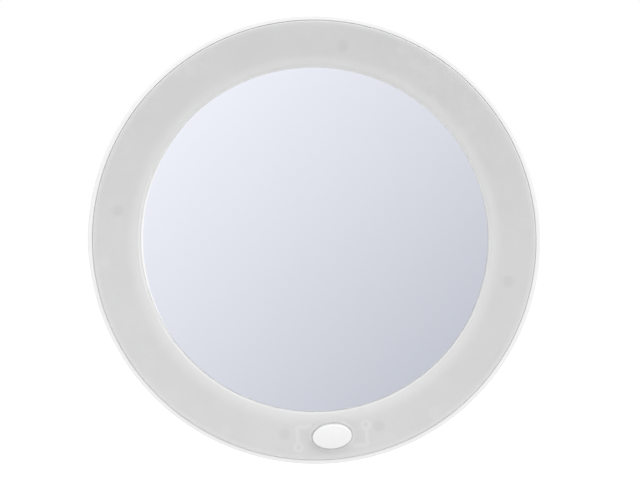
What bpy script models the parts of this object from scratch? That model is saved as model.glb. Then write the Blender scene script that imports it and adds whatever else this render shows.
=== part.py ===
"""Round wall mirror with a lit ring around its glass, run on three cells behind a sliding door.

Each piece is modelled in the mirror's own frame: x to the right, y up, and z the depth from the wall towards
the person who looks in. The empty wall_plane turns that frame upright, so that the mirror faces -Y.
"""

import math

import bmesh
import bpy
from mathutils import Vector
from mathutils.geometry import interpolate_bezier

MILLIMETRE = 0.001

# Fits and allowances that every piece shares
GAP = 0.0003  # between pieces that touch or nest
WELD = 0.0004  # how far a rib, post or boss runs into the wall that carries it
OVERRUN = 0.0020  # how far a cutter passes the face that it opens

# Facets of the round pieces
BODY_STEPS = 60
CUP_STEPS = 24
OVAL_STEPS = 24
CELL_STEPS = 20
SMALL_STEPS = 12
CORNER_STEPS = 3
SMOOTH_ANGLE = 32  # degrees between faces, above which an edge stays sharp

# Overall form
SIGHT_RADIUS = 0.0771  # of the glass that shows inside the ring
BAND_WIDTH = 0.0208  # edge of the visible glass to the ring's outer edge
STANDOFF = 0.0085  # wall to the housing's back, kept by the suction cups

# Housing
HOUSING_WALL = 0.0018
HOUSING_FLOOR = 0.0020
HOUSING_CORNER = 0.0120  # between the back and the side, outside
RIM_SETBACK = 0.0003  # rim's front edge behind the ring's front edge
RIM_CHAMFER = 0.0005  # on the rim's two front edges
RIB_THICKNESS = 0.0012
SEAT_WALL = 0.0016  # round wall that carries the glass near its edge
SEAT_INSET = 0.0025  # glass edge to that wall
SEAT_RIB_ANGLES = (0, 60, 120, 180, 240, 300)
BOARD_RIB_ANGLES = (30, 90, 150, 210, 270, 330)

# Cells
CELL_RADIUS = 0.00725
CELL_LENGTH = 0.0505
CELL_TIP_RADIUS = 0.00265
CELL_TIP_HEIGHT = 0.0012
CELL_EDGE = 0.0006
CELL_CLEARANCE = 0.0007  # between two cells
WELL_CLEARANCE = 0.00055  # cell to the well's side
WELL_WALL = 0.0016
WELL_CORNER = 0.0015
WELL_INNER_CORNER = 0.0005

# Battery door and the raised box that it slides on
BOX_PROUD = 0.0040  # raised box above the housing's back
BOX_SIDE = 0.0023  # wall outside the door's track
BOX_CORNER = 0.0040
DOOR_THICKNESS = 0.0020
DOOR_CLEARANCE = 0.0005  # door to the cells
DOOR_END_WALL = 0.0016
TRACK_LIP = 0.0009  # thickness of the lip over the door's tongue
TRACK_REACH = 0.0014  # tongue beyond the door's edge
GRIP_COUNT = 4
GRIP_HALF_WIDTH = 0.0080
GRIP_HEIGHT = 0.0009
GRIP_PITCH = 0.0021
GRIP_DEPTH = 0.0005
GRIP_INSET = 0.0055  # door's upper end to the first grip groove

# Contacts, springs and wires
CONTACT_THICKNESS = 0.0004
CONTACT_WIDTH = 0.0120
CONTACT_HEIGHT = 0.0110
SPRING_ROOM = 0.0068  # contact plate to the flat end of its cell
SPRING_WIRE = 0.0006
SPRING_WIDE = 0.0043
SPRING_NARROW = 0.0031
SPRING_TURNS = 4
SPRING_TURN_POINTS = 8
SPRING_LEAST_GAP = 0.0004
TAB_WIDTH = 0.0024
TAB_LENGTH = 0.0040  # contact plate to the tab's end
TAB_RISE = 0.0049  # tab in front of the cells' axes
WIRE_RADIUS = 0.0006
WIRE_LEAD = 0.0030
WIRE_REACH = 0.0120  # sideways place of the solder pad
WIRE_PAD = 0.0040  # solder pad from the board's inner edge
WIRE_STEP = 0.0030  # between points of a wire
NOTCH_WIDTH = 0.0030

# Glass and its foam pad
PAD_THICKNESS = 0.0010
PAD_INSET = 0.0030
GLASS_THICKNESS = 0.0030
GLASS_ARRIS = 0.0003
LIP_OVERLAP = 0.0009  # ring's lip over the edge of the glass

# Translucent ring
RING_THICKNESS = 0.0020
RING_SKIRT = 0.0016
RING_EDGE = 0.0005  # rounding of the front's outer edge
RING_OUTER_SKIRT = 0.0058  # front edge to the outer skirt's end
LIP_EDGE = 0.0007
SLOPE_WIDTH = 0.0063
SLOPE_RISE = 0.0025
SLOPE_TURN = 20  # degrees short of level, where the slope runs on as the dished band
SLOPE_RELIEF = 0.0003

# Screws and the posts that they join
FAR_SCREW_ANGLES = (76.2, 165.4, 343.5)  # the other two stand beside the button's arms
SCREW_RADIUS = 0.0011
SCREW_LENGTH = 0.0140
SCREW_HEAD_RADIUS = 0.0022
SCREW_HEAD = 0.0016
SCREW_DOME_SHARE = 0.7  # of the head's radius, flat on top
SCREW_DRIVE_SHARE = 0.5  # of the head's height
SCREW_DRIVE_RADIUS = 0.0009
SCREW_DRIVE_SLOT = 0.0005
COUNTERBORE_RADIUS = 0.0030
COUNTERBORE_DEPTH = 0.0045
POST_RADIUS = 0.0044
POST_HEIGHT = 0.0055  # above the housing's floor
BOSS_RADIUS = 0.0025
BOSS_CLEARANCE = 0.0023  # boss to the button's arm beside it

# Lamp board
BOARD_RISE = 0.0075  # housing's floor to the board's back
BOARD_THICKNESS = 0.0016
BOARD_INNER_CLEARANCE = 0.0010
BOARD_OUTER_CLEARANCE = 0.0008
LED_ANGLES = (0, 60, 120, 180, 240, 300)
LED_WIDTH = 0.0050
LED_HEIGHT = 0.0016
LED_LENS_RADIUS = 0.0018
LED_LENS_DEPTH = 0.0005
LED_CHAMFER = 0.0008
LED_INSET = 0.0040  # board's outer edge to a lamp's middle
RESISTOR_TURN = 7  # degrees from its lamp
RESISTOR_LENGTH = 0.0032
RESISTOR_WIDTH = 0.0016
RESISTOR_HEIGHT = 0.0006
RESISTOR_CHAMFER = 0.0001

# Push button, its spring arms and the switch
BUTTON_HALF_WIDTH = 0.0088
BUTTON_HALF_HEIGHT = 0.00545
BUTTON_PROUD = 0.0024
BUTTON_CROWN = 0.0005
BUTTON_EDGE = 0.0005
BUTTON_WALL = 0.0012
BUTTON_TRAVEL = 0.0012
FLANGE_REACH = 0.0015
FLANGE_THICKNESS = 0.0010
STEM_RADIUS = 0.0016
STEM_LENGTH = 0.0007  # beyond the flange
ARM_WIDTH = 0.0018
ARM_SPAN = 0.0154  # button's middle to the arm's upright
ARM_RISE = 0.0051  # button's middle to the arm's level stretch
EYE_DROP = 0.0037  # button's middle to the eyelet
EYE_RADIUS = 0.0023
PIN_RADIUS = 0.0010
PIN_HEAD_RADIUS = 0.0018
PIN_HEAD = 0.0009
SWITCH_WIDTH = 0.0070
SWITCH_CORNER = 0.0006
SWITCH_HEIGHT = 0.0046
PLUNGER_RADIUS = 0.00175
PLUNGER_SEAT = 0.0026  # plunger inside the switch at rest

# Suction cups
CUP_ANGLES = (30, 150, 270)
CUP_RADIUS = 0.0210
CUP_LIP_WIDTH = 0.0018
CUP_LIP_THICKNESS = 0.0007
CUP_HOLLOW = 0.0032
CUP_DOME_ANGLE = 72  # round the dome, from its lip to its shoulder
CUP_SHOULDER_RADIUS = 0.0065
CUP_SHOULDER_RISE = 0.0019
CUP_NECK_RADIUS = 0.0036
CUP_HEAD_RADIUS = 0.0052
CUP_HEAD_EDGE = 0.0008
CUP_HEAD_DOME = 0.0018
CUP_INSET = 0.0023  # a cup's locking head to the seat wall

# Depths from the wall, built up from the sizes above
BACK = STANDOFF
FLOOR = BACK + HOUSING_FLOOR
BOX_FACE = BACK - BOX_PROUD
DOOR_INSIDE = BOX_FACE + DOOR_THICKNESS
TRACK_FRONT = DOOR_INSIDE + GAP
CELL_AXIS = DOOR_INSIDE + DOOR_CLEARANCE + CELL_RADIUS
WELL_FRONT = CELL_AXIS + CELL_RADIUS + GAP
SEAT = WELL_FRONT + RIB_THICKNESS
PAD_BACK = SEAT + GAP
GLASS_BACK = PAD_BACK + PAD_THICKNESS + GAP
GLASS_FRONT = GLASS_BACK + GLASS_THICKNESS
LIP_BACK = GLASS_FRONT + GAP
SLOPE_FOOT = LIP_BACK + LIP_EDGE
BAND_INNER = SLOPE_FOOT + SLOPE_RISE * math.cos(math.radians(SLOPE_TURN))
BOARD_BACK = FLOOR + BOARD_RISE
BOARD_FRONT = BOARD_BACK + BOARD_THICKNESS
POST_FRONT = FLOOR + POST_HEIGHT
BOSS_END = POST_FRONT + GAP
HEAD_SEAT = BACK + COUNTERBORE_DEPTH
SWITCH_BACK = BOARD_FRONT + GAP
SWITCH_FRONT = SWITCH_BACK + SWITCH_HEIGHT
TAB_DEPTH = CELL_AXIS + TAB_RISE
WIRE_PAD_DEPTH = BOARD_FRONT + GAP + WIRE_RADIUS

# Radii and half sizes
RING_RADIUS = SIGHT_RADIUS + BAND_WIDTH
HOUSING_INSIDE = RING_RADIUS + GAP
BODY_RADIUS = HOUSING_INSIDE + HOUSING_WALL
FLAT_RADIUS = BODY_RADIUS - HOUSING_CORNER
GLASS_RADIUS = SIGHT_RADIUS + LIP_OVERLAP
INNER_SKIRT = GLASS_RADIUS + GAP
INNER_SKIRT_OUTSIDE = INNER_SKIRT + RING_SKIRT
SLOPE_RADIUS = SIGHT_RADIUS + SLOPE_WIDTH
BAND_START = SLOPE_RADIUS - SLOPE_WIDTH * math.sin(math.radians(SLOPE_TURN))
SEAT_OUTSIDE = GLASS_RADIUS - SEAT_INSET
SEAT_INSIDE = SEAT_OUTSIDE - SEAT_WALL
BAND_MIDDLE = SIGHT_RADIUS + BAND_WIDTH / 2
BOARD_INSIDE = INNER_SKIRT_OUTSIDE + BOARD_INNER_CLEARANCE
BOARD_RADIUS = HOUSING_INSIDE - BOARD_OUTER_CLEARANCE
LED_CIRCLE = BOARD_RADIUS - LED_INSET
CELL_SPACING = 2 * CELL_RADIUS + CELL_CLEARANCE
WELL_HALF_WIDTH = CELL_SPACING + CELL_RADIUS + WELL_CLEARANCE
CONTACT_FACE = (CELL_LENGTH + GAP + SPRING_ROOM) / 2
CONTACT_BACK = CONTACT_FACE + CONTACT_THICKNESS
WELL_HALF_LENGTH = CONTACT_BACK + GAP
DOOR_HALF_WIDTH = WELL_HALF_WIDTH
TONGUE_HALF_WIDTH = DOOR_HALF_WIDTH + TRACK_REACH
BOX_HALF_WIDTH = TONGUE_HALF_WIDTH + GAP + BOX_SIDE
DOOR_FOOT = WELL_HALF_LENGTH - GAP
TONGUE_FOOT = DOOR_FOOT + TRACK_REACH
BOX_HALF_LENGTH = TONGUE_FOOT + GAP + BOX_SIDE
DOOR_TOP = BOX_HALF_LENGTH + GAP
BORE_RADIUS = SCREW_RADIUS + GAP
BUTTON_SCREW_REACH = ARM_SPAN + ARM_WIDTH / 2 + BOSS_CLEARANCE + BOSS_RADIUS
BUTTON_SCREW_TURN = math.degrees(math.asin(BUTTON_SCREW_REACH / BAND_MIDDLE))
SCREW_ANGLES = (*FAR_SCREW_ANGLES, 270 - BUTTON_SCREW_TURN, 270 + BUTTON_SCREW_TURN)
CUP_CIRCLE = SEAT_INSIDE - CUP_INSET - CUP_HEAD_RADIUS
TAB_END = CONTACT_FACE + TAB_LENGTH
EYE_BORE = PIN_RADIUS + GAP

# Dished band, in line with the end of the slope, and the rim beside it
BAND_TILT = SLOPE_RISE / SLOPE_WIDTH * math.tan(math.radians(SLOPE_TURN))
BAND_OUTER = BAND_INNER + (RING_RADIUS - RING_EDGE - BAND_START) * BAND_TILT
RIM_FRONT = BAND_OUTER - RIM_SETBACK


def clear_scene():
    for item in list(bpy.data.objects):
        bpy.data.objects.remove(item)


def make_finish(name, colour, roughness, metallic=0.0):
    finish = bpy.data.materials.new(name)
    finish.use_nodes = True
    shader = finish.node_tree.nodes["Principled BSDF"]
    shader.inputs["Base Color"].default_value = (*colour, 1.0)
    shader.inputs["Roughness"].default_value = roughness
    shader.inputs["Metallic"].default_value = metallic
    return finish


def make_empty(name, turn):
    empty = bpy.data.objects.new(name, None)
    empty.rotation_euler = (turn, 0, 0)
    bpy.context.scene.collection.objects.link(empty)
    return empty


def place_object(name, data, place, turn):
    item = bpy.data.objects.new(name, data)
    item.parent = wall_plane
    item.location = place
    item.rotation_euler = (0, 0, turn)
    bpy.context.scene.collection.objects.link(item)
    return item


def finish_mesh(name, bm, finish=None):
    """The bmesh as mesh data with its faces outwards, smooth but for its real edges."""
    bmesh.ops.recalc_face_normals(bm, faces=bm.faces)
    mesh = bpy.data.meshes.new(name)
    bm.to_mesh(mesh)
    bm.free()
    mesh.shade_smooth()
    mesh.set_sharp_from_angle(angle=math.radians(SMOOTH_ANGLE))
    if finish:
        mesh.materials.append(finish)
    return mesh


def make_piece(name, bm, finish, place=(0, 0, 0), turn=0.0):
    return place_object(name, finish_mesh(name, bm, finish), place, turn)


def combine(piece, bm, operation, place=(0, 0, 0), turn=0.0):
    """Joins a helper body to the piece, or cuts it away, with a Boolean that stays on the piece."""
    name = f"{piece.name}_{operation.lower()}_{len(piece.modifiers)}"
    helper = place_object(name, finish_mesh(name, bm), place, turn)
    helper.hide_render = True
    helper.display_type = "WIRE"
    modifier = piece.modifiers.new(name, "BOOLEAN")
    modifier.operation = operation
    modifier.solver = "EXACT"
    modifier.object = helper


def bridge(bm, rings):
    """Faces between each ring and the next, and between the last and the first; a ring may be one point."""
    for first, second in zip(rings, rings[1:] + rings[:1]):
        for step in range(max(len(first), len(second))):
            corners = (
                first[step % len(first)],
                first[(step + 1) % len(first)],
                second[(step + 1) % len(second)],
                second[step % len(second)],
            )
            corners = list(dict.fromkeys(corners))
            if len(corners) > 2:
                bm.faces.new(corners)


def add_ovals(bm, sections, steps, centre=(0, 0)):
    """A turned body whose loop of sections is given as half width, half height and depth."""
    rings = []
    for half_width, half_height, depth in sections:
        count = steps if half_width else 1
        ring = []
        for step in range(count):
            angle = math.tau * (step + 0.5) / steps
            x = centre[0] + half_width * math.cos(angle)
            y = centre[1] + half_height * math.sin(angle)
            ring.append(bm.verts.new((x, y, depth)))
        rings.append(ring)
    bridge(bm, rings)


def add_turned(bm, profile, steps, centre=(0, 0)):
    """A body of revolution about the depth axis, from a closed loop of radius and depth."""
    add_ovals(bm, [(radius, radius, depth) for radius, depth in profile], steps, centre)


def add_cylinder(bm, radius, near, far, steps, centre=(0, 0)):
    add_turned(bm, [(0, near), (radius, near), (radius, far), (0, far)], steps, centre)


def add_prism(bm, outline, near, far):
    """An outline in x and y, carried from one depth to another."""
    rings = []
    for depth in (near, far):
        rings.append([bm.verts.new((x, y, depth)) for x, y in outline])
    for step in range(len(outline)):
        after = (step + 1) % len(outline)
        bm.faces.new((rings[0][step], rings[0][after], rings[1][after], rings[1][step]))
    bm.faces.new(rings[0])
    bm.faces.new(rings[1])


def add_box(bm, x_range, y_range, depth_range):
    corners = [(x_range[0], y_range[0]), (x_range[1], y_range[0])]
    corners += [(x_range[1], y_range[1]), (x_range[0], y_range[1])]
    add_prism(bm, corners, depth_range[0], depth_range[1])


def add_radial_plate(bm, outline, thickness, angle):
    """A plate that stands on a radius: its outline is given as radius and depth."""
    along = Vector((math.cos(angle), math.sin(angle)))
    across = Vector((-math.sin(angle), math.cos(angle)))
    rings = []
    for side in (-thickness / 2, thickness / 2):
        spots = [(along * radius + across * side, depth) for radius, depth in outline]
        rings.append([bm.verts.new((spot.x, spot.y, depth)) for spot, depth in spots])
    for step in range(len(outline)):
        after = (step + 1) % len(outline)
        bm.faces.new((rings[0][step], rings[0][after], rings[1][after], rings[1][step]))
    bm.faces.new(rings[0])
    bm.faces.new(rings[1])


def arc(middle, half_width, half_height, first, last, steps=CORNER_STEPS):
    """Points of an elliptical arc about the middle, from one angle to another in degrees."""
    points = []
    for step in range(steps + 1):
        angle = math.radians(first + (last - first) * step / steps)
        x = middle[0] + half_width * math.cos(angle)
        y = middle[1] + half_height * math.sin(angle)
        points.append((x, y))
    return points


def rounded_rectangle(half_width, half_height, corner, centre=(0, 0)):
    points = []
    for quarter, (side, end) in enumerate(((1, 1), (-1, 1), (-1, -1), (1, -1))):
        middle_x = centre[0] + side * (half_width - corner)
        middle_y = centre[1] + end * (half_height - corner)
        points += arc((middle_x, middle_y), corner, corner, 90 * quarter, 90 * quarter + 90)
    return points


def polar(radius, degrees):
    angle = math.radians(degrees)
    return (radius * math.cos(angle), radius * math.sin(angle))


def band_depth(radius):
    """Depth of the ring's dished front face at a radius, in line with the end of the slope."""
    return BAND_INNER + (radius - BAND_START) * BAND_TILT


def housing_shell():
    """Back, rounded corner, side wall and chamfered front rim, as one turned shell."""
    middle = (FLAT_RADIUS, BACK + HOUSING_CORNER)
    edge_depth = RIM_FRONT - RIM_CHAMFER
    profile = [(0, BACK)]
    profile += arc(middle, HOUSING_CORNER, HOUSING_CORNER, -90, 0, CORNER_STEPS + 1)
    profile += [(BODY_RADIUS, edge_depth), (BODY_RADIUS - RIM_CHAMFER, RIM_FRONT)]
    profile += [(HOUSING_INSIDE + RIM_CHAMFER, RIM_FRONT), (HOUSING_INSIDE, edge_depth)]
    inner_width = HOUSING_CORNER - HOUSING_WALL
    inner_height = HOUSING_CORNER - HOUSING_FLOOR
    profile += arc(middle, inner_width, inner_height, 0, -90)
    profile += [(0, FLOOR)]
    bm = bmesh.new()
    add_turned(bm, profile, BODY_STEPS)
    return bm


def housing_posts():
    """Raised battery box, the well inside it, the wall under the glass and the screw posts."""
    bm = bmesh.new()
    well = rounded_rectangle(WELL_HALF_WIDTH + WELL_WALL, WELL_HALF_LENGTH + WELL_WALL, WELL_CORNER)
    add_prism(bm, well, FLOOR - WELD, SEAT)
    wall = [(SEAT_INSIDE, FLOOR - WELD), (SEAT_OUTSIDE, FLOOR - WELD)]
    wall += [(SEAT_OUTSIDE, SEAT), (SEAT_INSIDE, SEAT)]
    add_turned(bm, wall, BODY_STEPS)
    for angle in SCREW_ANGLES:
        add_cylinder(bm, POST_RADIUS, FLOOR - WELD, POST_FRONT, SMALL_STEPS, polar(BAND_MIDDLE, angle))
    return bm


def housing_ribs():
    """Ribs that carry the glass inside the seat wall, and ribs that carry the lamp board outside it."""
    bm = bmesh.new()
    inner = [(WELL_HALF_WIDTH, FLOOR - WELD), (SEAT_INSIDE + WELD, FLOOR - WELD)]
    inner += [(SEAT_INSIDE + WELD, SEAT), (WELL_HALF_WIDTH, SEAT)]
    for angle in SEAT_RIB_ANGLES:
        add_radial_plate(bm, inner, RIB_THICKNESS, math.radians(angle))
    board_seat = BOARD_BACK - GAP
    middle = (FLAT_RADIUS, BACK + HOUSING_CORNER)
    half_width = HOUSING_CORNER - HOUSING_WALL / 2
    half_height = HOUSING_CORNER - HOUSING_FLOOR / 2
    reach = math.degrees(math.asin((middle[1] - board_seat) / half_height))
    outer = arc(middle, half_width, half_height, -90, -reach)
    outer += [(SEAT_OUTSIDE - WELD, board_seat), (SEAT_OUTSIDE - WELD, outer[0][1])]
    for angle in BOARD_RIB_ANGLES:
        add_radial_plate(bm, outer, RIB_THICKNESS, math.radians(angle))
    return bm


def housing_holes():
    """Stepped screw holes, cup holes, slots for the solder tabs and notches for the wires."""
    bm = bmesh.new()
    for angle in SCREW_ANGLES:
        near = BACK - OVERRUN
        far = POST_FRONT + OVERRUN
        profile = [(0, near), (COUNTERBORE_RADIUS, near), (COUNTERBORE_RADIUS, HEAD_SEAT)]
        profile += [(BORE_RADIUS, HEAD_SEAT), (BORE_RADIUS, far), (0, far)]
        add_turned(bm, profile, SMALL_STEPS, polar(BAND_MIDDLE, angle))
    for angle in CUP_ANGLES:
        bore = CUP_NECK_RADIUS + GAP
        add_cylinder(bm, bore, BACK - OVERRUN, FLOOR + OVERRUN, SMALL_STEPS, polar(CUP_CIRCLE, angle))
    for side in (-1, 1):
        slot_half = TAB_WIDTH / 2 + GAP
        slot_x = (side * CELL_SPACING - slot_half, side * CELL_SPACING + slot_half)
        slot_y = (side * (CONTACT_BACK - GAP), side * (WELL_HALF_LENGTH + WELL_WALL + OVERRUN))
        slot_depth = CONTACT_THICKNESS / 2 + GAP
        add_box(bm, slot_x, sorted(slot_y), (TAB_DEPTH - slot_depth, TAB_DEPTH + slot_depth))
        notch = wire_notch(side)
        notch_x = (notch[0] - NOTCH_WIDTH / 2, notch[0] + NOTCH_WIDTH / 2)
        notch_y = (notch[1] - SEAT_WALL - OVERRUN, notch[1] + SEAT_WALL + OVERRUN)
        add_box(bm, notch_x, notch_y, (WIRE_PAD_DEPTH - WIRE_RADIUS, SEAT + OVERRUN))
    return bm


def housing_track():
    """Cutters for the battery well, the door's opening and its undercut track."""
    top = BOX_HALF_LENGTH + OVERRUN
    well = bmesh.new()
    outline = rounded_rectangle(WELL_HALF_WIDTH, WELL_HALF_LENGTH, WELL_INNER_CORNER)
    add_prism(well, outline, BOX_FACE - OVERRUN, WELL_FRONT)
    opening = bmesh.new()
    opening_half = DOOR_HALF_WIDTH + GAP
    opening_x = (-opening_half, opening_half)
    add_box(opening, opening_x, (-WELL_HALF_LENGTH, top), (BOX_FACE - OVERRUN, TRACK_FRONT))
    track = bmesh.new()
    track_half = TONGUE_HALF_WIDTH + GAP
    track_foot = -TONGUE_FOOT - GAP
    add_box(track, (-track_half, track_half), (track_foot, top), (BOX_FACE + TRACK_LIP, TRACK_FRONT))
    return well, opening, track


def build_housing():
    housing = make_piece("rear_housing", housing_shell(), white_plastic)
    box = bmesh.new()
    add_prism(box, rounded_rectangle(BOX_HALF_WIDTH, BOX_HALF_LENGTH, BOX_CORNER), BOX_FACE, BACK + WELD)
    combine(housing, box, "UNION")
    combine(housing, housing_posts(), "UNION")
    combine(housing, housing_ribs(), "UNION")
    for cutter in housing_track():
        combine(housing, cutter, "DIFFERENCE")
    combine(housing, housing_holes(), "DIFFERENCE")


def build_ring():
    """Translucent ring: dished front band, rounded slope to the glass, two skirts, bosses and pins."""
    middle = (RING_RADIUS - RING_EDGE, BAND_OUTER - RING_EDGE)
    profile = [(SIGHT_RADIUS, LIP_BACK)]
    slope_end = 90 + SLOPE_TURN
    profile += arc((SLOPE_RADIUS, SLOPE_FOOT), SLOPE_WIDTH, SLOPE_RISE, 180, slope_end, CORNER_STEPS + 1)
    profile += arc(middle, RING_EDGE, RING_EDGE, 90, 0, CORNER_STEPS - 1)
    profile += [
        (RING_RADIUS, BAND_OUTER - RING_OUTER_SKIRT),
        (RING_RADIUS - RING_SKIRT, BAND_OUTER - RING_OUTER_SKIRT),
        (RING_RADIUS - RING_SKIRT, band_depth(RING_RADIUS - RING_SKIRT) - RING_THICKNESS),
        (BAND_START, BAND_INNER - RING_THICKNESS),
        (INNER_SKIRT_OUTSIDE, BAND_INNER - RING_THICKNESS - SLOPE_RELIEF),
        (INNER_SKIRT_OUTSIDE, PAD_BACK),
        (INNER_SKIRT, PAD_BACK),
        (INNER_SKIRT, LIP_BACK),
    ]
    bm = bmesh.new()
    add_turned(bm, profile, BODY_STEPS)
    ring = make_piece("diffuser_ring", bm, frosted_plastic)
    middle_depth = band_depth(BAND_MIDDLE) - RING_THICKNESS / 2
    posts = bmesh.new()
    for angle in SCREW_ANGLES:
        add_cylinder(posts, BOSS_RADIUS, BOSS_END, middle_depth, SMALL_STEPS, polar(BAND_MIDDLE, angle))
    for side in (-1, 1):
        eye = eye_place(side)
        foot = flange_back() - GAP
        profile = [(0, foot - PIN_HEAD), (PIN_HEAD_RADIUS / 2, foot - PIN_HEAD)]
        profile += [(PIN_HEAD_RADIUS, foot - PIN_HEAD / 2), (PIN_HEAD_RADIUS, foot), (PIN_RADIUS, foot)]
        profile += [(PIN_RADIUS, middle_depth), (0, middle_depth)]
        add_turned(posts, profile, SMALL_STEPS, eye)
    combine(ring, posts, "UNION")
    holes = bmesh.new()
    bore_start = BOSS_END - OVERRUN
    bore_end = HEAD_SEAT + SCREW_LENGTH + GAP
    for angle in SCREW_ANGLES:
        add_cylinder(holes, BORE_RADIUS, bore_start, bore_end, SMALL_STEPS, polar(BAND_MIDDLE, angle))
    half_width = BUTTON_HALF_WIDTH + GAP
    half_height = BUTTON_HALF_HEIGHT + GAP
    near = flange_back()
    far = BAND_OUTER + OVERRUN
    sections = [(0, 0, near), (half_width, half_height, near), (half_width, half_height, far), (0, 0, far)]
    add_ovals(holes, sections, OVAL_STEPS, (0, -BAND_MIDDLE))
    combine(ring, holes, "DIFFERENCE")


def build_glass():
    pad = bmesh.new()
    add_cylinder(pad, GLASS_RADIUS - PAD_INSET, PAD_BACK, PAD_BACK + PAD_THICKNESS, BODY_STEPS)
    make_piece("mirror_pad", pad, grey_foam)
    inner = GLASS_RADIUS - GLASS_ARRIS
    profile = [(0, GLASS_BACK), (inner, GLASS_BACK), (GLASS_RADIUS, GLASS_BACK + GLASS_ARRIS)]
    profile += [(GLASS_RADIUS, GLASS_FRONT - GLASS_ARRIS), (inner, GLASS_FRONT), (0, GLASS_FRONT)]
    glass = bmesh.new()
    add_turned(glass, profile, BODY_STEPS)
    make_piece("mirror_glass", glass, silvered_glass)


def build_board():
    profile = [(BOARD_INSIDE, BOARD_BACK), (BOARD_RADIUS, BOARD_BACK)]
    profile += [(BOARD_RADIUS, BOARD_FRONT), (BOARD_INSIDE, BOARD_FRONT)]
    bm = bmesh.new()
    add_turned(bm, profile, BODY_STEPS)
    board = make_piece("led_ring_board", bm, white_board)
    holes = bmesh.new()
    for angle in SCREW_ANGLES:
        place = polar(BAND_MIDDLE, angle)
        bore = BOSS_RADIUS + GAP
        add_cylinder(holes, bore, BOARD_BACK - OVERRUN, BOARD_FRONT + OVERRUN, SMALL_STEPS, place)
    combine(board, holes, "DIFFERENCE")


def build_lamp(name, place, turn):
    """A square lamp package with one corner cut and a round lens well."""
    half = LED_WIDTH / 2
    cut = half - LED_CHAMFER
    bm = bmesh.new()
    add_prism(bm, [(-half, -half), (half, -half), (half, cut), (cut, half), (-half, half)], 0, LED_HEIGHT)
    lamp = make_piece(name, bm, lamp_package, place, turn)
    lens = bmesh.new()
    add_cylinder(lens, LED_LENS_RADIUS, LED_HEIGHT - LED_LENS_DEPTH, LED_HEIGHT + OVERRUN, SMALL_STEPS)
    combine(lamp, lens, "DIFFERENCE", place, turn)


def resistor_mesh():
    half_length = RESISTOR_LENGTH / 2
    half_width = RESISTOR_WIDTH / 2
    bm = bmesh.new()
    add_box(bm, (-half_length, half_length), (-half_width, half_width), (0, RESISTOR_HEIGHT))
    bmesh.ops.bevel(bm, geom=bm.edges, offset=RESISTOR_CHAMFER, segments=1, affect="EDGES")
    return finish_mesh("resistor", bm, black_ceramic)


def build_lamps():
    resistor = resistor_mesh()
    for number, angle in enumerate(LED_ANGLES, 1):
        x, y = polar(LED_CIRCLE, angle)
        build_lamp(f"led_{number}", (x, y, BOARD_FRONT + GAP), math.radians(angle))
        turned = angle + RESISTOR_TURN
        x, y = polar(BAND_MIDDLE, turned)
        place_object(f"resistor_{number}", resistor, (x, y, BOARD_FRONT + GAP), math.radians(turned))


def flange_front():
    return BAND_INNER - RING_THICKNESS - SLOPE_RELIEF - GAP


def flange_back():
    return flange_front() - FLANGE_THICKNESS


def stem_end():
    return flange_back() - STEM_LENGTH


def eye_place(side):
    return (side * ARM_SPAN, -BAND_MIDDLE + side * EYE_DROP)


def build_button():
    """Oval cap with a crowned face, hollow behind, with a flange and a stem over the switch."""
    front = band_depth(BAND_MIDDLE) + BUTTON_PROUD
    edge = front - BUTTON_CROWN
    ceiling = edge - BUTTON_WALL
    flange = (BUTTON_HALF_WIDTH + FLANGE_REACH, BUTTON_HALF_HEIGHT + FLANGE_REACH)
    side = (BUTTON_HALF_WIDTH, BUTTON_HALF_HEIGHT)
    rounded = (BUTTON_HALF_WIDTH - BUTTON_EDGE, BUTTON_HALF_HEIGHT - BUTTON_EDGE)
    hollow = (BUTTON_HALF_WIDTH - BUTTON_WALL, BUTTON_HALF_HEIGHT - BUTTON_WALL)
    sections = [
        (0, 0, front),
        (side[0] / 2, side[1] / 2, front - BUTTON_CROWN / 4),
        (*rounded, edge),
        (*side, edge - BUTTON_EDGE),
        (*side, flange_front()),
        (*flange, flange_front()),
        (*flange, flange_back()),
        (*hollow, flange_back()),
        (*hollow, ceiling),
        (STEM_RADIUS, STEM_RADIUS, ceiling),
        (STEM_RADIUS, STEM_RADIUS, stem_end()),
        (0, 0, stem_end()),
    ]
    bm = bmesh.new()
    add_ovals(bm, sections, OVAL_STEPS)
    make_piece("button_cap", bm, gloss_plastic, (0, -BAND_MIDDLE, 0))


def build_arm(name, side):
    """Flat L-shaped spring arm from an eyelet on its pin to the button's flange."""
    half = ARM_WIDTH / 2
    flange_width = BUTTON_HALF_WIDTH + FLANGE_REACH
    flange_height = BUTTON_HALF_HEIGHT + FLANGE_REACH
    nearest = ARM_RISE - half
    end = flange_width * math.sqrt(1 - (nearest / flange_height) ** 2) + GAP
    outer = ARM_SPAN + half
    inner = ARM_SPAN - half
    outline = [(outer, EYE_DROP), (inner, EYE_DROP), (inner, -ARM_RISE + half), (end, -ARM_RISE + half)]
    outline += [(end, -ARM_RISE - half), (outer - half, -ARM_RISE - half), (outer, -ARM_RISE)]
    bm = bmesh.new()
    add_prism(bm, [(side * x, side * y) for x, y in outline], flange_back(), flange_front())
    arm = make_piece(name, bm, gloss_plastic, (0, -BAND_MIDDLE, 0))
    eye = bmesh.new()
    place = eye_place(side)
    add_cylinder(eye, EYE_RADIUS, flange_back(), flange_front(), SMALL_STEPS, place)
    combine(arm, eye, "UNION")
    bore = bmesh.new()
    add_cylinder(bore, EYE_BORE, flange_back() - OVERRUN, flange_front() + OVERRUN, SMALL_STEPS, place)
    combine(arm, bore, "DIFFERENCE")


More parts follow.
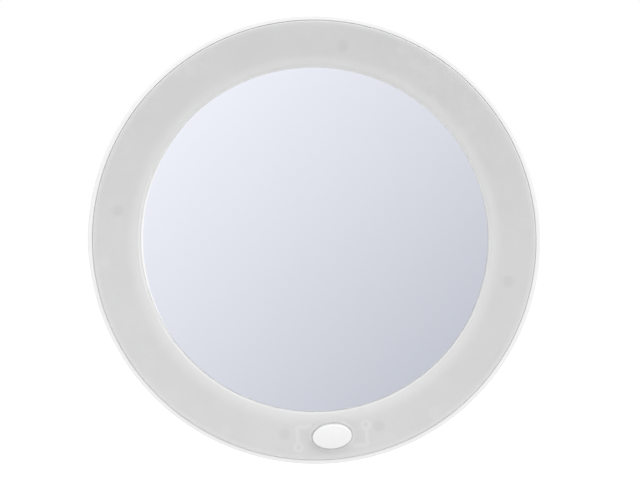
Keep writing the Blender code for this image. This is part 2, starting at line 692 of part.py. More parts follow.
def build_switch():
    plunger_back = SWITCH_FRONT - PLUNGER_SEAT
    bm = bmesh.new()
    outline = rounded_rectangle(SWITCH_WIDTH / 2, SWITCH_WIDTH / 2, SWITCH_CORNER)
    add_prism(bm, outline, SWITCH_BACK, SWITCH_FRONT)
    body = make_piece("switch_body", bm, black_plastic, (0, -BAND_MIDDLE, 0))
    bore = bmesh.new()
    bore_back = plunger_back - BUTTON_TRAVEL - GAP
    bore_radius = PLUNGER_RADIUS + GAP
    add_cylinder(bore, bore_radius, bore_back, SWITCH_FRONT + OVERRUN, SMALL_STEPS)
    combine(body, bore, "DIFFERENCE", (0, -BAND_MIDDLE, 0))
    plunger = bmesh.new()
    add_cylinder(plunger, PLUNGER_RADIUS, plunger_back, stem_end() - GAP, SMALL_STEPS)
    make_piece("switch_plunger", plunger, black_plastic, (0, -BAND_MIDDLE, 0))


def build_door():
    """Sliding door: a flat plate with tongues on three sides, an end wall and grip grooves."""
    tongue = bmesh.new()
    tongue_depths = (BOX_FACE + TRACK_LIP + GAP, DOOR_INSIDE)
    add_box(tongue, (-TONGUE_HALF_WIDTH, TONGUE_HALF_WIDTH), (-TONGUE_FOOT, DOOR_TOP + WELD), tongue_depths)
    door = make_piece("battery_door", tongue, white_plastic)
    plate = bmesh.new()
    plate_depths = (BOX_FACE, DOOR_INSIDE - WELD)
    add_box(plate, (-DOOR_HALF_WIDTH, DOOR_HALF_WIDTH), (-DOOR_FOOT, DOOR_TOP + WELD), plate_depths)
    combine(door, plate, "UNION")
    end = bmesh.new()
    end_y = (DOOR_TOP, DOOR_TOP + DOOR_END_WALL)
    add_box(end, (-BOX_HALF_WIDTH + BOX_SIDE, BOX_HALF_WIDTH - BOX_SIDE), end_y, (BOX_FACE, BACK - GAP))
    combine(door, end, "UNION")
    grooves = bmesh.new()
    for number in range(GRIP_COUNT):
        top = DOOR_TOP - GRIP_INSET - number * GRIP_PITCH
        groove_x = (-GRIP_HALF_WIDTH, GRIP_HALF_WIDTH)
        add_box(grooves, groove_x, (top - GRIP_HEIGHT, top), (BOX_FACE - OVERRUN, BOX_FACE + GRIP_DEPTH))
    combine(door, grooves, "DIFFERENCE")


def cell_mesh():
    """One cell along its own depth axis, flat end at zero and tip at the far end."""
    shoulder = CELL_LENGTH - CELL_TIP_HEIGHT
    profile = [(0, 0), (CELL_RADIUS - CELL_EDGE, 0), (CELL_RADIUS, CELL_EDGE)]
    profile += [(CELL_RADIUS, shoulder - CELL_EDGE), (CELL_RADIUS - CELL_EDGE, shoulder)]
    profile += [(CELL_TIP_RADIUS, shoulder)]
    profile += [(CELL_TIP_RADIUS, CELL_LENGTH), (0, CELL_LENGTH)]
    bm = bmesh.new()
    add_turned(bm, profile, CELL_STEPS)
    return finish_mesh("cell", bm, cell_jacket)


def build_contact(name, first, last, end, tab=False):
    """A sprung-metal plate across the end of one or two cells; a terminal plate has a solder tab."""
    half = CONTACT_WIDTH / 2
    bm = bmesh.new()
    y_range = sorted((end * CONTACT_FACE, end * CONTACT_BACK))
    depths = (CELL_AXIS - CONTACT_HEIGHT / 2, CELL_AXIS + CONTACT_HEIGHT / 2)
    add_box(bm, (first * CELL_SPACING - half, last * CELL_SPACING + half), y_range, depths)
    plate = make_piece(name, bm, nickel_plate)
    if tab:
        bm = bmesh.new()
        middle = first * CELL_SPACING
        tab_y = sorted((end * (CONTACT_BACK - CONTACT_THICKNESS / 2), end * TAB_END))
        tab_depths = (TAB_DEPTH - CONTACT_THICKNESS / 2, TAB_DEPTH + CONTACT_THICKNESS / 2)
        add_box(bm, (middle - TAB_WIDTH / 2, middle + TAB_WIDTH / 2), tab_y, tab_depths)
        combine(plate, bm, "UNION")


def make_tube(name, points, radius, finish):
    curve = bpy.data.curves.new(name, "CURVE")
    curve.dimensions = "3D"
    curve.bevel_depth = radius
    curve.bevel_resolution = 1
    curve.use_fill_caps = True
    spline = curve.splines.new("POLY")
    spline.points.add(len(points) - 1)
    for point, spot in zip(spline.points, points):
        point.co = (*spot, 1.0)
    curve.materials.append(finish)
    return place_object(name, curve, (0, 0, 0), 0.0)


def spring_points(end):
    """A tapered coil that closes from the contact plate to the flat end of its cell."""
    near = CONTACT_FACE - GAP - SPRING_WIRE / 2
    far = CONTACT_FACE - SPRING_ROOM + GAP + SPRING_WIRE / 2
    count = SPRING_TURNS * SPRING_TURN_POINTS
    points = []
    for step in range(count + 1):
        share = step / count
        angle = math.tau * step / SPRING_TURN_POINTS
        radius = SPRING_WIDE + (SPRING_NARROW - SPRING_WIDE) * share
        y = end * (near + (far - near) * share)
        points.append(Vector((radius * math.cos(angle), y, CELL_AXIS + radius * math.sin(angle))))
    return points


def least_gap(points, diameter):
    """The narrowest space between a coil's turns, measured between points at least half a turn apart."""
    apart = SPRING_TURN_POINTS // 2
    closest = math.inf
    for step, point in enumerate(points):
        for other in points[step + apart :]:
            closest = min(closest, (point - other).length)
    return closest - diameter


def build_cells():
    """Three cells, the middle one turned round, with their springs, end plates and links."""
    cell = cell_mesh()
    for number, column in enumerate((-1, 0, 1), 1):
        tip_end = -1 if column == 0 else 1
        flat = -tip_end * (CONTACT_FACE - SPRING_ROOM)
        battery = place_object(f"battery_{number}", cell, (column * CELL_SPACING, flat, CELL_AXIS), 0.0)
        battery.rotation_euler = (-tip_end * math.pi / 2, 0, 0)
        points = spring_points(-tip_end)
        spring = make_tube(f"battery_spring_{number}", points, SPRING_WIRE / 2, nickel_plate)
        spring.location.x = column * CELL_SPACING
        gap = least_gap(points, SPRING_WIRE)
        assert gap > SPRING_LEAST_GAP
        print(f"{spring.name}: least gap to itself {gap / MILLIMETRE:.2f} mm")
    build_contact("contact_negative", -1, -1, -1, tab=True)
    build_contact("contact_positive", 1, 1, 1, tab=True)
    build_contact("contact_link_lower", 0, 1, -1)
    build_contact("contact_link_upper", -1, 0, 1)


def wire_notch(side):
    """Where a wire crosses the seat wall."""
    x = side * (WIRE_REACH + CELL_SPACING) / 2
    return (x, side * math.sqrt((SEAT_INSIDE + SEAT_WALL / 2) ** 2 - x * x))


def wire_points(side):
    """A wire's middle line from its solder tab over the notch in the seat wall to its pad on the board."""
    notch = wire_notch(side)
    over = WIRE_PAD_DEPTH + WIRE_RADIUS
    pad_y = math.sqrt((BOARD_INSIDE + WIRE_PAD) ** 2 - WIRE_REACH**2)
    stops = [
        Vector((side * CELL_SPACING, side * (TAB_END + GAP), TAB_DEPTH)),
        Vector((side * CELL_SPACING, side * (TAB_END + GAP + WIRE_LEAD), TAB_DEPTH)),
        Vector((notch[0], notch[1] - side * WIRE_LEAD, over)),
        Vector((notch[0], notch[1] + side * WIRE_LEAD, over)),
        Vector((side * WIRE_REACH, side * (pad_y - WIRE_LEAD), WIRE_PAD_DEPTH)),
        Vector((side * WIRE_REACH, side * pad_y, WIRE_PAD_DEPTH)),
    ]
    return smooth_line(stops)


def smooth_line(stops):
    """Points on a smooth curve through the stops, whose handles are a third of each span."""
    headings = []
    for number in range(len(stops)):
        before = stops[max(number - 1, 0)]
        after = stops[min(number + 1, len(stops) - 1)]
        headings.append((after - before).normalized())
    points = [stops[0]]
    for number, (first, second) in enumerate(zip(stops, stops[1:])):
        span = (second - first).length
        leaving = first + headings[number] * span / 3
        arriving = second - headings[number + 1] * span / 3
        count = max(1, round(span / WIRE_STEP)) + 1
        points += interpolate_bezier(first, leaving, arriving, second, count)[1:]
    return points


def screw_mesh():
    """A pan-head screw along its own depth axis, head first, with a crossed drive."""
    profile = [(0, 0), (SCREW_HEAD_RADIUS * SCREW_DOME_SHARE, 0), (SCREW_HEAD_RADIUS, SCREW_HEAD / 2)]
    profile += [(SCREW_HEAD_RADIUS, SCREW_HEAD), (SCREW_RADIUS, SCREW_HEAD)]
    profile += [(SCREW_RADIUS, SCREW_HEAD + SCREW_LENGTH - SCREW_RADIUS)]
    profile += [(SCREW_RADIUS / 2, SCREW_HEAD + SCREW_LENGTH), (0, SCREW_HEAD + SCREW_LENGTH)]
    bm = bmesh.new()
    add_turned(bm, profile, SMALL_STEPS)
    return bm


def build_screws():
    for number, angle in enumerate(SCREW_ANGLES, 1):
        x, y = polar(BAND_MIDDLE, angle)
        place = (x, y, HEAD_SEAT - GAP - SCREW_HEAD)
        screw = make_piece(f"housing_screw_{number}", screw_mesh(), zinc_steel, place)
        drive = bmesh.new()
        reach = SCREW_DRIVE_RADIUS
        half = SCREW_DRIVE_SLOT / 2
        outline = [(reach, -half), (reach, half), (half, half), (half, reach)]
        outline += [(-half, reach), (-half, half), (-reach, half), (-reach, -half)]
        outline += [(-half, -half), (-half, -reach), (half, -reach), (half, -half)]
        add_prism(drive, outline, -OVERRUN, SCREW_HEAD * SCREW_DRIVE_SHARE)
        combine(screw, drive, "DIFFERENCE", place)


def cup_mesh():
    """A thin rubber dome with a flat lip, a shoulder, a neck through the housing and a locking head."""
    flat_inside = CUP_RADIUS - CUP_LIP_WIDTH
    shoulder = BACK - GAP - CUP_SHOULDER_RISE
    profile = [(0, CUP_HOLLOW)]
    profile += arc((0, 0), flat_inside, CUP_HOLLOW, 90, 0, CORNER_STEPS + 1)[1:]
    profile += [(CUP_RADIUS - CUP_LIP_THICKNESS / 2, 0), (CUP_RADIUS, CUP_LIP_THICKNESS / 2)]
    profile += arc((0, CUP_LIP_THICKNESS), CUP_RADIUS, shoulder - CUP_LIP_THICKNESS, 0, CUP_DOME_ANGLE)
    profile += [
        (CUP_SHOULDER_RADIUS, shoulder),
        (CUP_SHOULDER_RADIUS, BACK - GAP),
        (CUP_NECK_RADIUS, BACK - GAP),
        (CUP_NECK_RADIUS, FLOOR + GAP),
        (CUP_HEAD_RADIUS, FLOOR + GAP),
        (CUP_HEAD_RADIUS, FLOOR + GAP + CUP_HEAD_EDGE),
        (CUP_HEAD_RADIUS / 2, FLOOR + GAP + CUP_HEAD_EDGE + CUP_HEAD_DOME),
        (0, FLOOR + GAP + CUP_HEAD_EDGE + CUP_HEAD_DOME),
    ]
    bm = bmesh.new()
    add_turned(bm, profile, CUP_STEPS)
    return finish_mesh("suction_cup", bm, clear_rubber)


def build_cups():
    cup = cup_mesh()
    for number, angle in enumerate(CUP_ANGLES, 1):
        x, y = polar(CUP_CIRCLE, angle)
        place_object(f"suction_cup_{number}", cup, (x, y, 0), math.radians(angle))


clear_scene()
white_plastic = make_finish("white_plastic", (0.84, 0.84, 0.84), 0.42)
frosted_plastic = make_finish("frosted_plastic", (0.62, 0.62, 0.62), 0.55)
silvered_glass = make_finish("silvered_glass", (0.80, 0.83, 0.90), 0.03, 1.0)
grey_foam = make_finish("grey_foam", (0.25, 0.25, 0.26), 0.90)
white_board = make_finish("white_board", (0.75, 0.77, 0.76), 0.45)
lamp_package = make_finish("lamp_package", (0.85, 0.78, 0.42), 0.35)
black_ceramic = make_finish("black_ceramic", (0.03, 0.03, 0.03), 0.50)
gloss_plastic = make_finish("gloss_plastic", (0.87, 0.87, 0.87), 0.30)
black_plastic = make_finish("black_plastic", (0.04, 0.04, 0.04), 0.45)
cell_jacket = make_finish("cell_jacket", (0.20, 0.23, 0.26), 0.35)
nickel_plate = make_finish("nickel_plate", (0.72, 0.70, 0.66), 0.28, 1.0)
zinc_steel = make_finish("zinc_steel", (0.62, 0.63, 0.65), 0.35, 1.0)
clear_rubber = make_finish("clear_rubber", (0.78, 0.80, 0.80), 0.25)
red_sleeve = make_finish("red_sleeve", (0.55, 0.03, 0.03), 0.45)
black_sleeve = make_finish("black_sleeve", (0.03, 0.03, 0.03), 0.45)
wall_plane = make_empty("wall_plane", math.pi / 2)

build_housing()
build_ring()
build_glass()
build_board()
build_lamps()
build_button()
build_arm("button_arm_left", -1)
build_arm("button_arm_right", 1)
build_switch()
build_door()
build_cells()
make_tube("wire_negative", wire_points(-1), WIRE_RADIUS, black_sleeve)
make_tube("wire_positive", wire_points(1), WIRE_RADIUS, red_sleeve)
build_screws()
build_cups()
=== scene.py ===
"""Studio scene of a round wall mirror with a lit ring: fine pieces on the fixed frame, finishes and light.

Shapes are made in the mirror's own frame, with x to the right, y up and z the depth from the wall towards
the person who looks in. UPRIGHT turns them into the world, where the mirror faces -Y.
"""

import math
from types import SimpleNamespace

import bmesh
import bpy
from mathutils import Matrix, Vector


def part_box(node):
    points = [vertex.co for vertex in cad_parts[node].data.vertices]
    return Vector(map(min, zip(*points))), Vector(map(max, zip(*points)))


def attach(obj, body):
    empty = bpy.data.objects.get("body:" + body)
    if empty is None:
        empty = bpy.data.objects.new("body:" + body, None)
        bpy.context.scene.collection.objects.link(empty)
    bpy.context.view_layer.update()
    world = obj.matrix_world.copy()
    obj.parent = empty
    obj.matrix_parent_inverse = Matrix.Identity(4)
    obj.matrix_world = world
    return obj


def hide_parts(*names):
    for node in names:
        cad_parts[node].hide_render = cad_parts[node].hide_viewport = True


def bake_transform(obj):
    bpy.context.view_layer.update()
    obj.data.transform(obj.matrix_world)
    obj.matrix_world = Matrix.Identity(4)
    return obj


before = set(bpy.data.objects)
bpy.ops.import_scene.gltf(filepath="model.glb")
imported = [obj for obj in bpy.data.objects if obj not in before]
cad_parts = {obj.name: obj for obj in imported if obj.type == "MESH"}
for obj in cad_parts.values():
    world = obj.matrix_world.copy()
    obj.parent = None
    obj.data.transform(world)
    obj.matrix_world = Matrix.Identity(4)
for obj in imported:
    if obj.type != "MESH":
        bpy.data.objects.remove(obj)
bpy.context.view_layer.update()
UPRIGHT = Matrix.Rotation(math.pi / 2, 4, "X")

# Fineness
TURN_STEPS = 360
OVAL_STEPS = 180
CUP_STEPS = 120
SMALL_STEPS = 48
HOLE_STEPS = 40  # unlike the posts', so that no corner of a hole lies on an edge of its post
EDGE_STEPS = 8
CURVE_STEPS = 24
SPRING_TURN_STEPS = 36
SHARP_ANGLE = 34  # degrees between faces, above which an edge stays sharp

OVAL_FACET = math.cos(math.pi / 24)  # the frame's ovals have 24 sides

# Fits
GAP = 0.0003
SEAM = 0.00014  # between the ring and the rim
BUTTON_FIT = 0.00006  # round the button, in its hole
LIP_FIT = 0.00002  # under the ring's lip, on the glass
WELD = 0.0004  # overlap of bodies that are joined
OVERRUN = 0.0020  # of a cutter past the surface that it cuts
SUPPORT = 0.0006  # flat strip beside a rounding, which keeps its neighbour's shading flat

# Housing
HOUSING_FLOOR = 0.0020
HOUSING_CORNER = 0.0120
RIM_ROUND = 0.0005
RIM_EDGE = 0.0002
RIM_DROP = 0.00015  # below the front of the frame's rim
RIB_THICKNESS = 0.0012
RIB_DROP = 0.0001  # below the seat wall's front
SEAT_WALL = 0.0016
SEAT_INSET = 0.0025
SEAT_RIB_ANGLES = range(0, 360, 60)
BOARD_RIB_ANGLES = range(30, 360, 60)
POST_RADIUS = 0.0044
POST_GAP = 0.0003
COUNTERBORE_RADIUS = 0.0030
HOLE_EDGE = 0.0003
NECK_RADIUS = 0.0036

# Battery box and door
BOX_PROUD = 0.0040
BOX_SIDE = 0.0023
BOX_CORNER = 0.0040
BOX_EDGE = 0.0006
BOX_FILLET = 0.0008
FILLET_SINK = 0.00002  # fillet's foot below the back, so that the two cross
WELL_WALL = 0.0016
WELL_CORNER = 0.0015
WELL_INNER_CORNER = 0.0005
TRACK_LIP = 0.0009
TRACK_REACH = 0.0014
DOOR_THICKNESS = 0.0020
DOOR_END_WALL = 0.0016
DOOR_EDGE = 0.0003
GRIP_COUNT = 4
GRIP_HALF_WIDTH = 0.0080
GRIP_HEIGHT = 0.0009
GRIP_PITCH = 0.0021
GRIP_DEPTH = 0.0005
GRIP_INSET = 0.0055
GRIP_FLARE = 0.0002

# Cells, springs and tabs
CELL_RADIUS = 0.00725
CELL_EDGE = 0.0006
CELL_TIP_RADIUS = 0.00265
CELL_TIP_HEIGHT = 0.0012
CELL_TIP_EDGE = 0.0004
CELL_JACKET_LIP = 0.0009  # width of the jacket that is shrunk over each end
CELL_BAND = 0.0125  # length of the pale band below the tip
SPRING_WIRE = 0.0006
SPRING_NARROW = 0.0031
SPRING_TURNS = 4
SPRING_BEVEL = 3
TAB_SLOT_HALF_WIDTH = 0.0015
TAB_SLOT_HALF_DEPTH = 0.0005
NOTCH_WIDTH = 0.0030

# Ring, glass and button
RING_THICKNESS = 0.0020
RING_SKIRT = 0.0016
RING_EDGE = 0.0002
RING_OUTER_SKIRT = 0.0058
LIP_OVERLAP = 0.0009
LIP_EDGE = 0.0007
SLOPE_WIDTH = 0.0063
SLOPE_RISE = 0.0025
SLOPE_TURN = 20  # degrees of the slope's last quarter that the band cuts off
SLOPE_RELIEF = 0.0003
HOLE_CHAMFER = 0.00005
GLASS_ARRIS = 0.0003
PAINTED_GLINT_WIDTH = 0.0010  # width at the left edge of a painted highlight: a pale crescent where the silvering stops short of the lip
SILVER_OFFSET = 0.0042  # of the silvering's circle from the middle of the glass
SILVER_HEADING = -10
SILVER_SOFT = 0.0002
BOSS_RADIUS = 0.0025
BUTTON_CROWN = 0.00025
BUTTON_EDGE = 0.0005
BUTTON_WALL = 0.0012
FLANGE_REACH = 0.0015
STEM_RADIUS = 0.0016
ARM_WIDTH = 0.0018
ARM_SPAN = 0.0154
ARM_RISE = 0.0051
ARM_BEND = 1.2  # outer radius of the arm's bend, in widths of the arm
EYE_DROP = 0.0037
EYE_RADIUS = 0.0023
PIN_RADIUS = 0.0010
PIN_HEAD_RADIUS = 0.0018
PIN_HEAD = 0.0009

# Ring finish: where each tint lies, how softly it ends, and its share in the colour. The slope, lip and
# outer edge tints are painted light, and the shade round the button is partly painted shade
SPREAD = 0.003  # how far light spreads inside the plastic
PALE = (0.80, 0.80, 0.80)
SLOPE_LEAN = 0.9  # share by which light that spreads inside the ring evens out the slope
SLOPE_FADE = 0.0009  # width beyond the slope over which its painted light ends
SLOPE_LIGHT_SHARES = (0.52, 0.40)  # share of the slope's painted light at its lowest and at its highest point
LIP_START = 0.0004  # out from the visible glass, where the lip's painted light begins to fade
LIP_END = 0.0011
LIP_LIGHT_SHARES = (0.35, 1.0)  # share of the lip's painted light at its lowest and at its highest point; the top, which faces away from the light, gets the most
EDGE_START = 0.0024  # in from the outer edge, where its painted light begins to show
EDGE_END = 0.0012
EDGE_LIGHT_SHARE = 0.15
SHADE_DROP = 0.0014  # of the darker oval round the button, below the button's middle: partly painted shade under the button, partly the dark space behind the plastic
SHADE_HALF_WIDTH = 0.0142
SHADE_HALF_HEIGHT = 0.0086
SHADE_SOFT = 0.7
SHADE_SHARE = 0.16
FLANGE_SOFT = 0.12
FLANGE_SHARE = 0.45
BOSS_SOFT = 0.0022
BOSS_SHARE = 0.30
GLOW_RADIUS = 0.0026
GLOW_SOFT = 0.0020
GLOW_SHARE = 0.10
ARM_SOFT = 0.0009
ARM_SHARE = 0.28
PIN_SOFT = 0.0008
PIN_SHARE = 0.25

# Lamp board and lamps
TRACK_PLACES = (0.12, 0.92)  # of the board's width, from its inner edge
TRACK_HALF_WIDTH = 0.0006
TRACK_SOFT = 0.0002
TRACK_SHARE = 0.6
LENS_START = 0.0002  # behind the lamp's front, where the phosphor begins
LENS_END = 0.0004
LENS_FACING = (-0.8, -0.95)  # of the normal along the depth, on the floor of the lens

# Screws
SCREW_RADIUS = 0.0011
SCREW_HEAD_RADIUS = 0.0022
SCREW_HEAD = 0.0016
SCREW_DRIVE_RADIUS = 0.0011
SCREW_DRIVE_SLOT = 0.0005
SCREW_DRIVE_DEPTH = 0.0008

# Suction cups
CUP_LIP_WIDTH = 0.0018
CUP_LIP_THICKNESS = 0.0007
CUP_HOLLOW = 0.0032
CUP_DOME_ANGLE = 72
CUP_SHOULDER_RADIUS = 0.0065
CUP_SHOULDER_RISE = 0.0019
CUP_HEAD_RADIUS = 0.0052
CUP_HEAD_EDGE = 0.0008
CUP_ROUND = 0.0003

# Camera: the photo's viewing angle, and its lens as a plain portrait lens
CAMERA_AZIMUTH = 2.5
CAMERA_ELEVATION = 7.5
CAMERA_ROLL = 5.5
CAMERA_DISTANCE = 1.0036
CAMERA_LENS = 128
CAMERA_SENSOR = 36
FRAME_WIDTH = 640
OBJECT_LEFT_PX = 6.4  # of the frame's middle
OBJECT_RISE_PX = -2.8

# Light
SKY_LEVEL = 0.91
SKY_GRADIENT = 0.08
FLOOR_LEVEL = -1.3
FLOOR_SIZE = 20.0
FLOOR_GLOW = 0.35
KEY_DISTANCE = 4.0
KEY_SIZE = 2.4
KEY_POWER = 66.0
KEY_ELEVATION = 52.4
KEY_AZIMUTH = 45
CARD_PLACE = -1.05
CARD_SIZE = 2.8
CARD_RAMP = 0.0793  # half of its width, as it crosses the glass
CARD_HEADING = -50.0
CARD_PALE = (0.921, 0.925, 0.966)
CARD_DARK = (0.593, 0.607, 0.656)

CLOUD_RANGE = (0.3, 0.7)  # the part of a noise's values that is drawn out to full contrast


def extent(node):
    """A CAD node's box in the mirror's own frame."""
    low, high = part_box(node)
    centre = ((low.x + high.x) / 2, (low.z + high.z) / 2)
    return SimpleNamespace(
        left=low.x,
        right=high.x,
        foot=low.z,
        top=high.z,
        back=-high.y,
        front=-low.y,
        x=centre[0],
        y=centre[1],
        centre=centre,
        half_width=(high.x - low.x) / 2,
        half_height=(high.z - low.z) / 2,
    )


def extents(stem, count):
    return [extent(f"{stem}_{number}") for number in range(1, count + 1)]


body = extent("rear_housing")
ring = extent("diffuser_ring")
glass = extent("mirror_glass")
button = extent("button_cap")
door = extent("battery_door")
screws = extents("housing_screw", 5)
cups = extents("suction_cup", 3)
cells = extents("battery", 3)
lamps = extents("led", 6)

# Radii and depths, from the frame
BODY_RADIUS = body.half_width
RING_RADIUS = ring.half_width
HOUSING_INSIDE = RING_RADIUS + SEAM
GLASS_RADIUS = glass.half_width
SIGHT_RADIUS = GLASS_RADIUS - LIP_OVERLAP
SLOPE_RADIUS = SIGHT_RADIUS + SLOPE_WIDTH
INNER_SKIRT = GLASS_RADIUS + GAP
INNER_SKIRT_OUTSIDE = INNER_SKIRT + RING_SKIRT
BAND_MIDDLE = abs(button.y)
LIP_BACK = glass.front + LIP_FIT
SLOPE_FOOT = glass.front + GAP + LIP_EDGE
BAND_TILT = SLOPE_RISE / SLOPE_WIDTH * math.tan(math.radians(SLOPE_TURN))
BAND_START = SLOPE_RADIUS - SLOPE_WIDTH * math.sin(math.radians(SLOPE_TURN))
BAND_INNER = SLOPE_FOOT + SLOPE_RISE * math.cos(math.radians(SLOPE_TURN))
BAND_OUTER = BAND_INNER + (RING_RADIUS - RING_EDGE - BAND_START) * BAND_TILT
RIM_FRONT = body.front - RIM_DROP
BOX_FACE = body.back
BACK = BOX_FACE + BOX_PROUD
FLOOR = BACK + HOUSING_FLOOR
FLAT_RADIUS = BODY_RADIUS - HOUSING_CORNER
SEAT = extent("mirror_pad").back - GAP
SEAT_OUTSIDE = GLASS_RADIUS - SEAT_INSET
SEAT_INSIDE = SEAT_OUTSIDE - SEAT_WALL
BOARD_BACK = extent("led_ring_board").back
DOOR_INSIDE = BOX_FACE + DOOR_THICKNESS
WELL_HALF_WIDTH = door.half_width - TRACK_REACH
WELL_HALF_LENGTH = extent("contact_link_upper").top + GAP
TONGUE_FOOT = -door.foot
BOX_HALF_WIDTH = door.half_width + GAP + BOX_SIDE
BOX_HALF_LENGTH = TONGUE_FOOT + GAP + BOX_SIDE
FLANGE_BACK = extent("button_arm_left").back
FLANGE_FRONT = extent("button_arm_left").front
FLANGE_HALF_WIDTH = button.half_width / OVAL_FACET
FLANGE_HALF_HEIGHT = button.half_height / OVAL_FACET
BUTTON_HALF_WIDTH = FLANGE_HALF_WIDTH - FLANGE_REACH
BUTTON_HALF_HEIGHT = FLANGE_HALF_HEIGHT - FLANGE_REACH


def bridge(form, rings, closed=True):
    """Faces between each ring and the next; a ring may be one point."""
    pairs = list(zip(rings, rings[1:]))
    if closed:
        pairs.append((rings[-1], rings[0]))
    for first, second in pairs:
        for step in range(max(len(first), len(second))):
            corners = (
                first[step % len(first)],
                first[(step + 1) % len(first)],
                second[(step + 1) % len(second)],
                second[step % len(second)],
            )
            corners = list(dict.fromkeys(corners))
            if len(corners) > 2:
                form.faces.new(corners)


def add_ovals(form, sections, steps, centre=(0, 0)):
    """A turned body whose loop of sections is given as half width, half height and depth.

    Its corners stand half a step off the axes, so that none lies on another body's centre line.
    """
    rings = []
    for half_width, half_height, depth in sections:
        ring_points = []
        for step in range(steps if half_width else 1):
            angle = math.tau * (step + 0.5) / steps
            x = centre[0] + half_width * math.cos(angle)
            y = centre[1] + half_height * math.sin(angle)
            ring_points.append(form.verts.new((x, y, depth)))
        rings.append(ring_points)
    bridge(form, rings)
    return form


def add_turned(form, profile, steps, centre=(0, 0)):
    """A body of revolution about the depth axis, from a closed loop of radius and depth."""
    return add_ovals(form, [(radius, radius, depth) for radius, depth in profile], steps, centre)


def add_cylinder(form, radius, near, far, steps, centre=(0, 0)):
    add_turned(form, [(0, near), (radius, near), (radius, far), (0, far)], steps, centre)


def close_rings(form, rings):
    """A body with walls between the rings and flat faces on the first and the last."""
    bridge(form, rings, closed=False)
    form.faces.new(rings[0])
    form.faces.new(rings[-1])
    return form


def add_loft(form, sections):
    """A body through a stack of outlines of equal counts, each with its depth."""
    rings = [[form.verts.new((*point, depth)) for point in outline] for outline, depth in sections]
    return close_rings(form, rings)


def add_prism(form, outline, near, far):
    return add_loft(form, [(outline, near), (outline, far)])


def add_box(form, x_range, y_range, depth_range):
    corners = [(x_range[side], y_range[end]) for side, end in ((0, 0), (1, 0), (1, 1), (0, 1))]
    return add_prism(form, corners, *depth_range)


def add_radial_plate(form, outline, thickness, degrees):
    """A plate that stands on a radius: its outline is given as radius and depth."""
    along = Vector(polar(1, degrees))
    across = Vector((-along.y, along.x))
    rings = []
    for side in (-thickness / 2, thickness / 2):
        places = [(*(along * radius + across * side), depth) for radius, depth in outline]
        rings.append([form.verts.new(place) for place in places])
    close_rings(form, rings)


def arc(middle, half_width, half_height, first, last, steps):
    """Points of an elliptical arc about the middle, from one angle to another in degrees."""
    points = []
    for step in range(steps + 1):
        angle = math.radians(first + (last - first) * step / steps)
        x = middle[0] + half_width * math.cos(angle)
        y = middle[1] + half_height * math.sin(angle)
        points.append((x, y))
    return points


def round_off(middle, radius, first, last, steps=EDGE_STEPS):
    """Points of a round corner, from one angle to another in degrees."""
    return arc(middle, radius, radius, first, last, steps)


def rounded_rectangle(half_width, half_height, corner, centre=(0, 0)):
    points = []
    for quarter, (side, end) in enumerate(((1, 1), (-1, 1), (-1, -1), (1, -1))):
        middle = (centre[0] + side * (half_width - corner), centre[1] + end * (half_height - corner))
        points += round_off(middle, corner, 90 * quarter, 90 * quarter + 90)
    return points


def add_spread(form, size, sections, centre=(0, 0), corner_grows=True):
    """A rounded body that grows by a spread at each depth. Size is half width, half height and corner."""
    outlines = []
    for spread, depth in sections:
        corner = size[2] + (spread if corner_grows else 0)
        outline = rounded_rectangle(size[0] + spread, size[1] + spread, corner, centre)
        outlines.append((outline, depth))
    return add_loft(form, outlines)


def polar(radius, degrees):
    angle = math.radians(degrees)
    return (radius * math.cos(angle), radius * math.sin(angle))


def band_depth(radius):
    """Depth of the ring's dished front face at a radius, in line with the end of the slope."""
    return BAND_INNER + (radius - BAND_START) * BAND_TILT


def eye_place(side):
    """Middle of a spring arm's eyelet, and of the ring's pin in it."""
    return (side * ARM_SPAN, button.y + side * EYE_DROP)


def show(item):
    bpy.context.scene.collection.objects.link(item)
    return item


def make_mesh(name, form):
    bmesh.ops.recalc_face_normals(form, faces=form.faces)
    bmesh.ops.transform(form, matrix=UPRIGHT, verts=form.verts)
    mesh = bpy.data.meshes.new(name)
    form.to_mesh(mesh)
    form.free()
    return mesh


def smooth(mesh):
    mesh.shade_smooth()
    mesh.set_sharp_from_angle(angle=math.radians(SHARP_ANGLE))


def make_piece(name, form, finish):
    mesh = make_mesh(name, form)
    smooth(mesh)
    mesh.materials.append(finish)
    return show(bpy.data.objects.new(name, mesh))


def turned_piece(name, profile, steps, finish, centre=(0, 0)):
    return make_piece(name, add_turned(bmesh.new(), profile, steps, centre), finish)


def combine(piece, form, operation):
    """Joins a helper body to the piece, or cuts it away, for good."""
    helper = show(bpy.data.objects.new("helper", make_mesh("helper", form)))
    modifier = piece.modifiers.new(operation, "BOOLEAN")
    modifier.operation = operation
    modifier.solver = "EXACT"
    modifier.object = helper
    bpy.context.view_layer.update()
    result = piece.evaluated_get(bpy.context.evaluated_depsgraph_get())
    mesh = bpy.data.meshes.new_from_object(result)
    piece.modifiers.clear()
    piece.data = mesh
    mesh.name = piece.name
    bpy.data.objects.remove(helper)
    smooth(mesh)


def flatten_shading(piece):
    """Lets the large faces lead the shading, so that flats stay flat beside their roundings."""
    modifier = piece.modifiers.new("flat_shading", "WEIGHTED_NORMAL")
    modifier.keep_sharp = True


def place_piece(piece, nodes, body_name="root"):
    """The piece stands for these nodes and moves with their body."""
    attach(piece, body_name)
    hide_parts(*nodes)


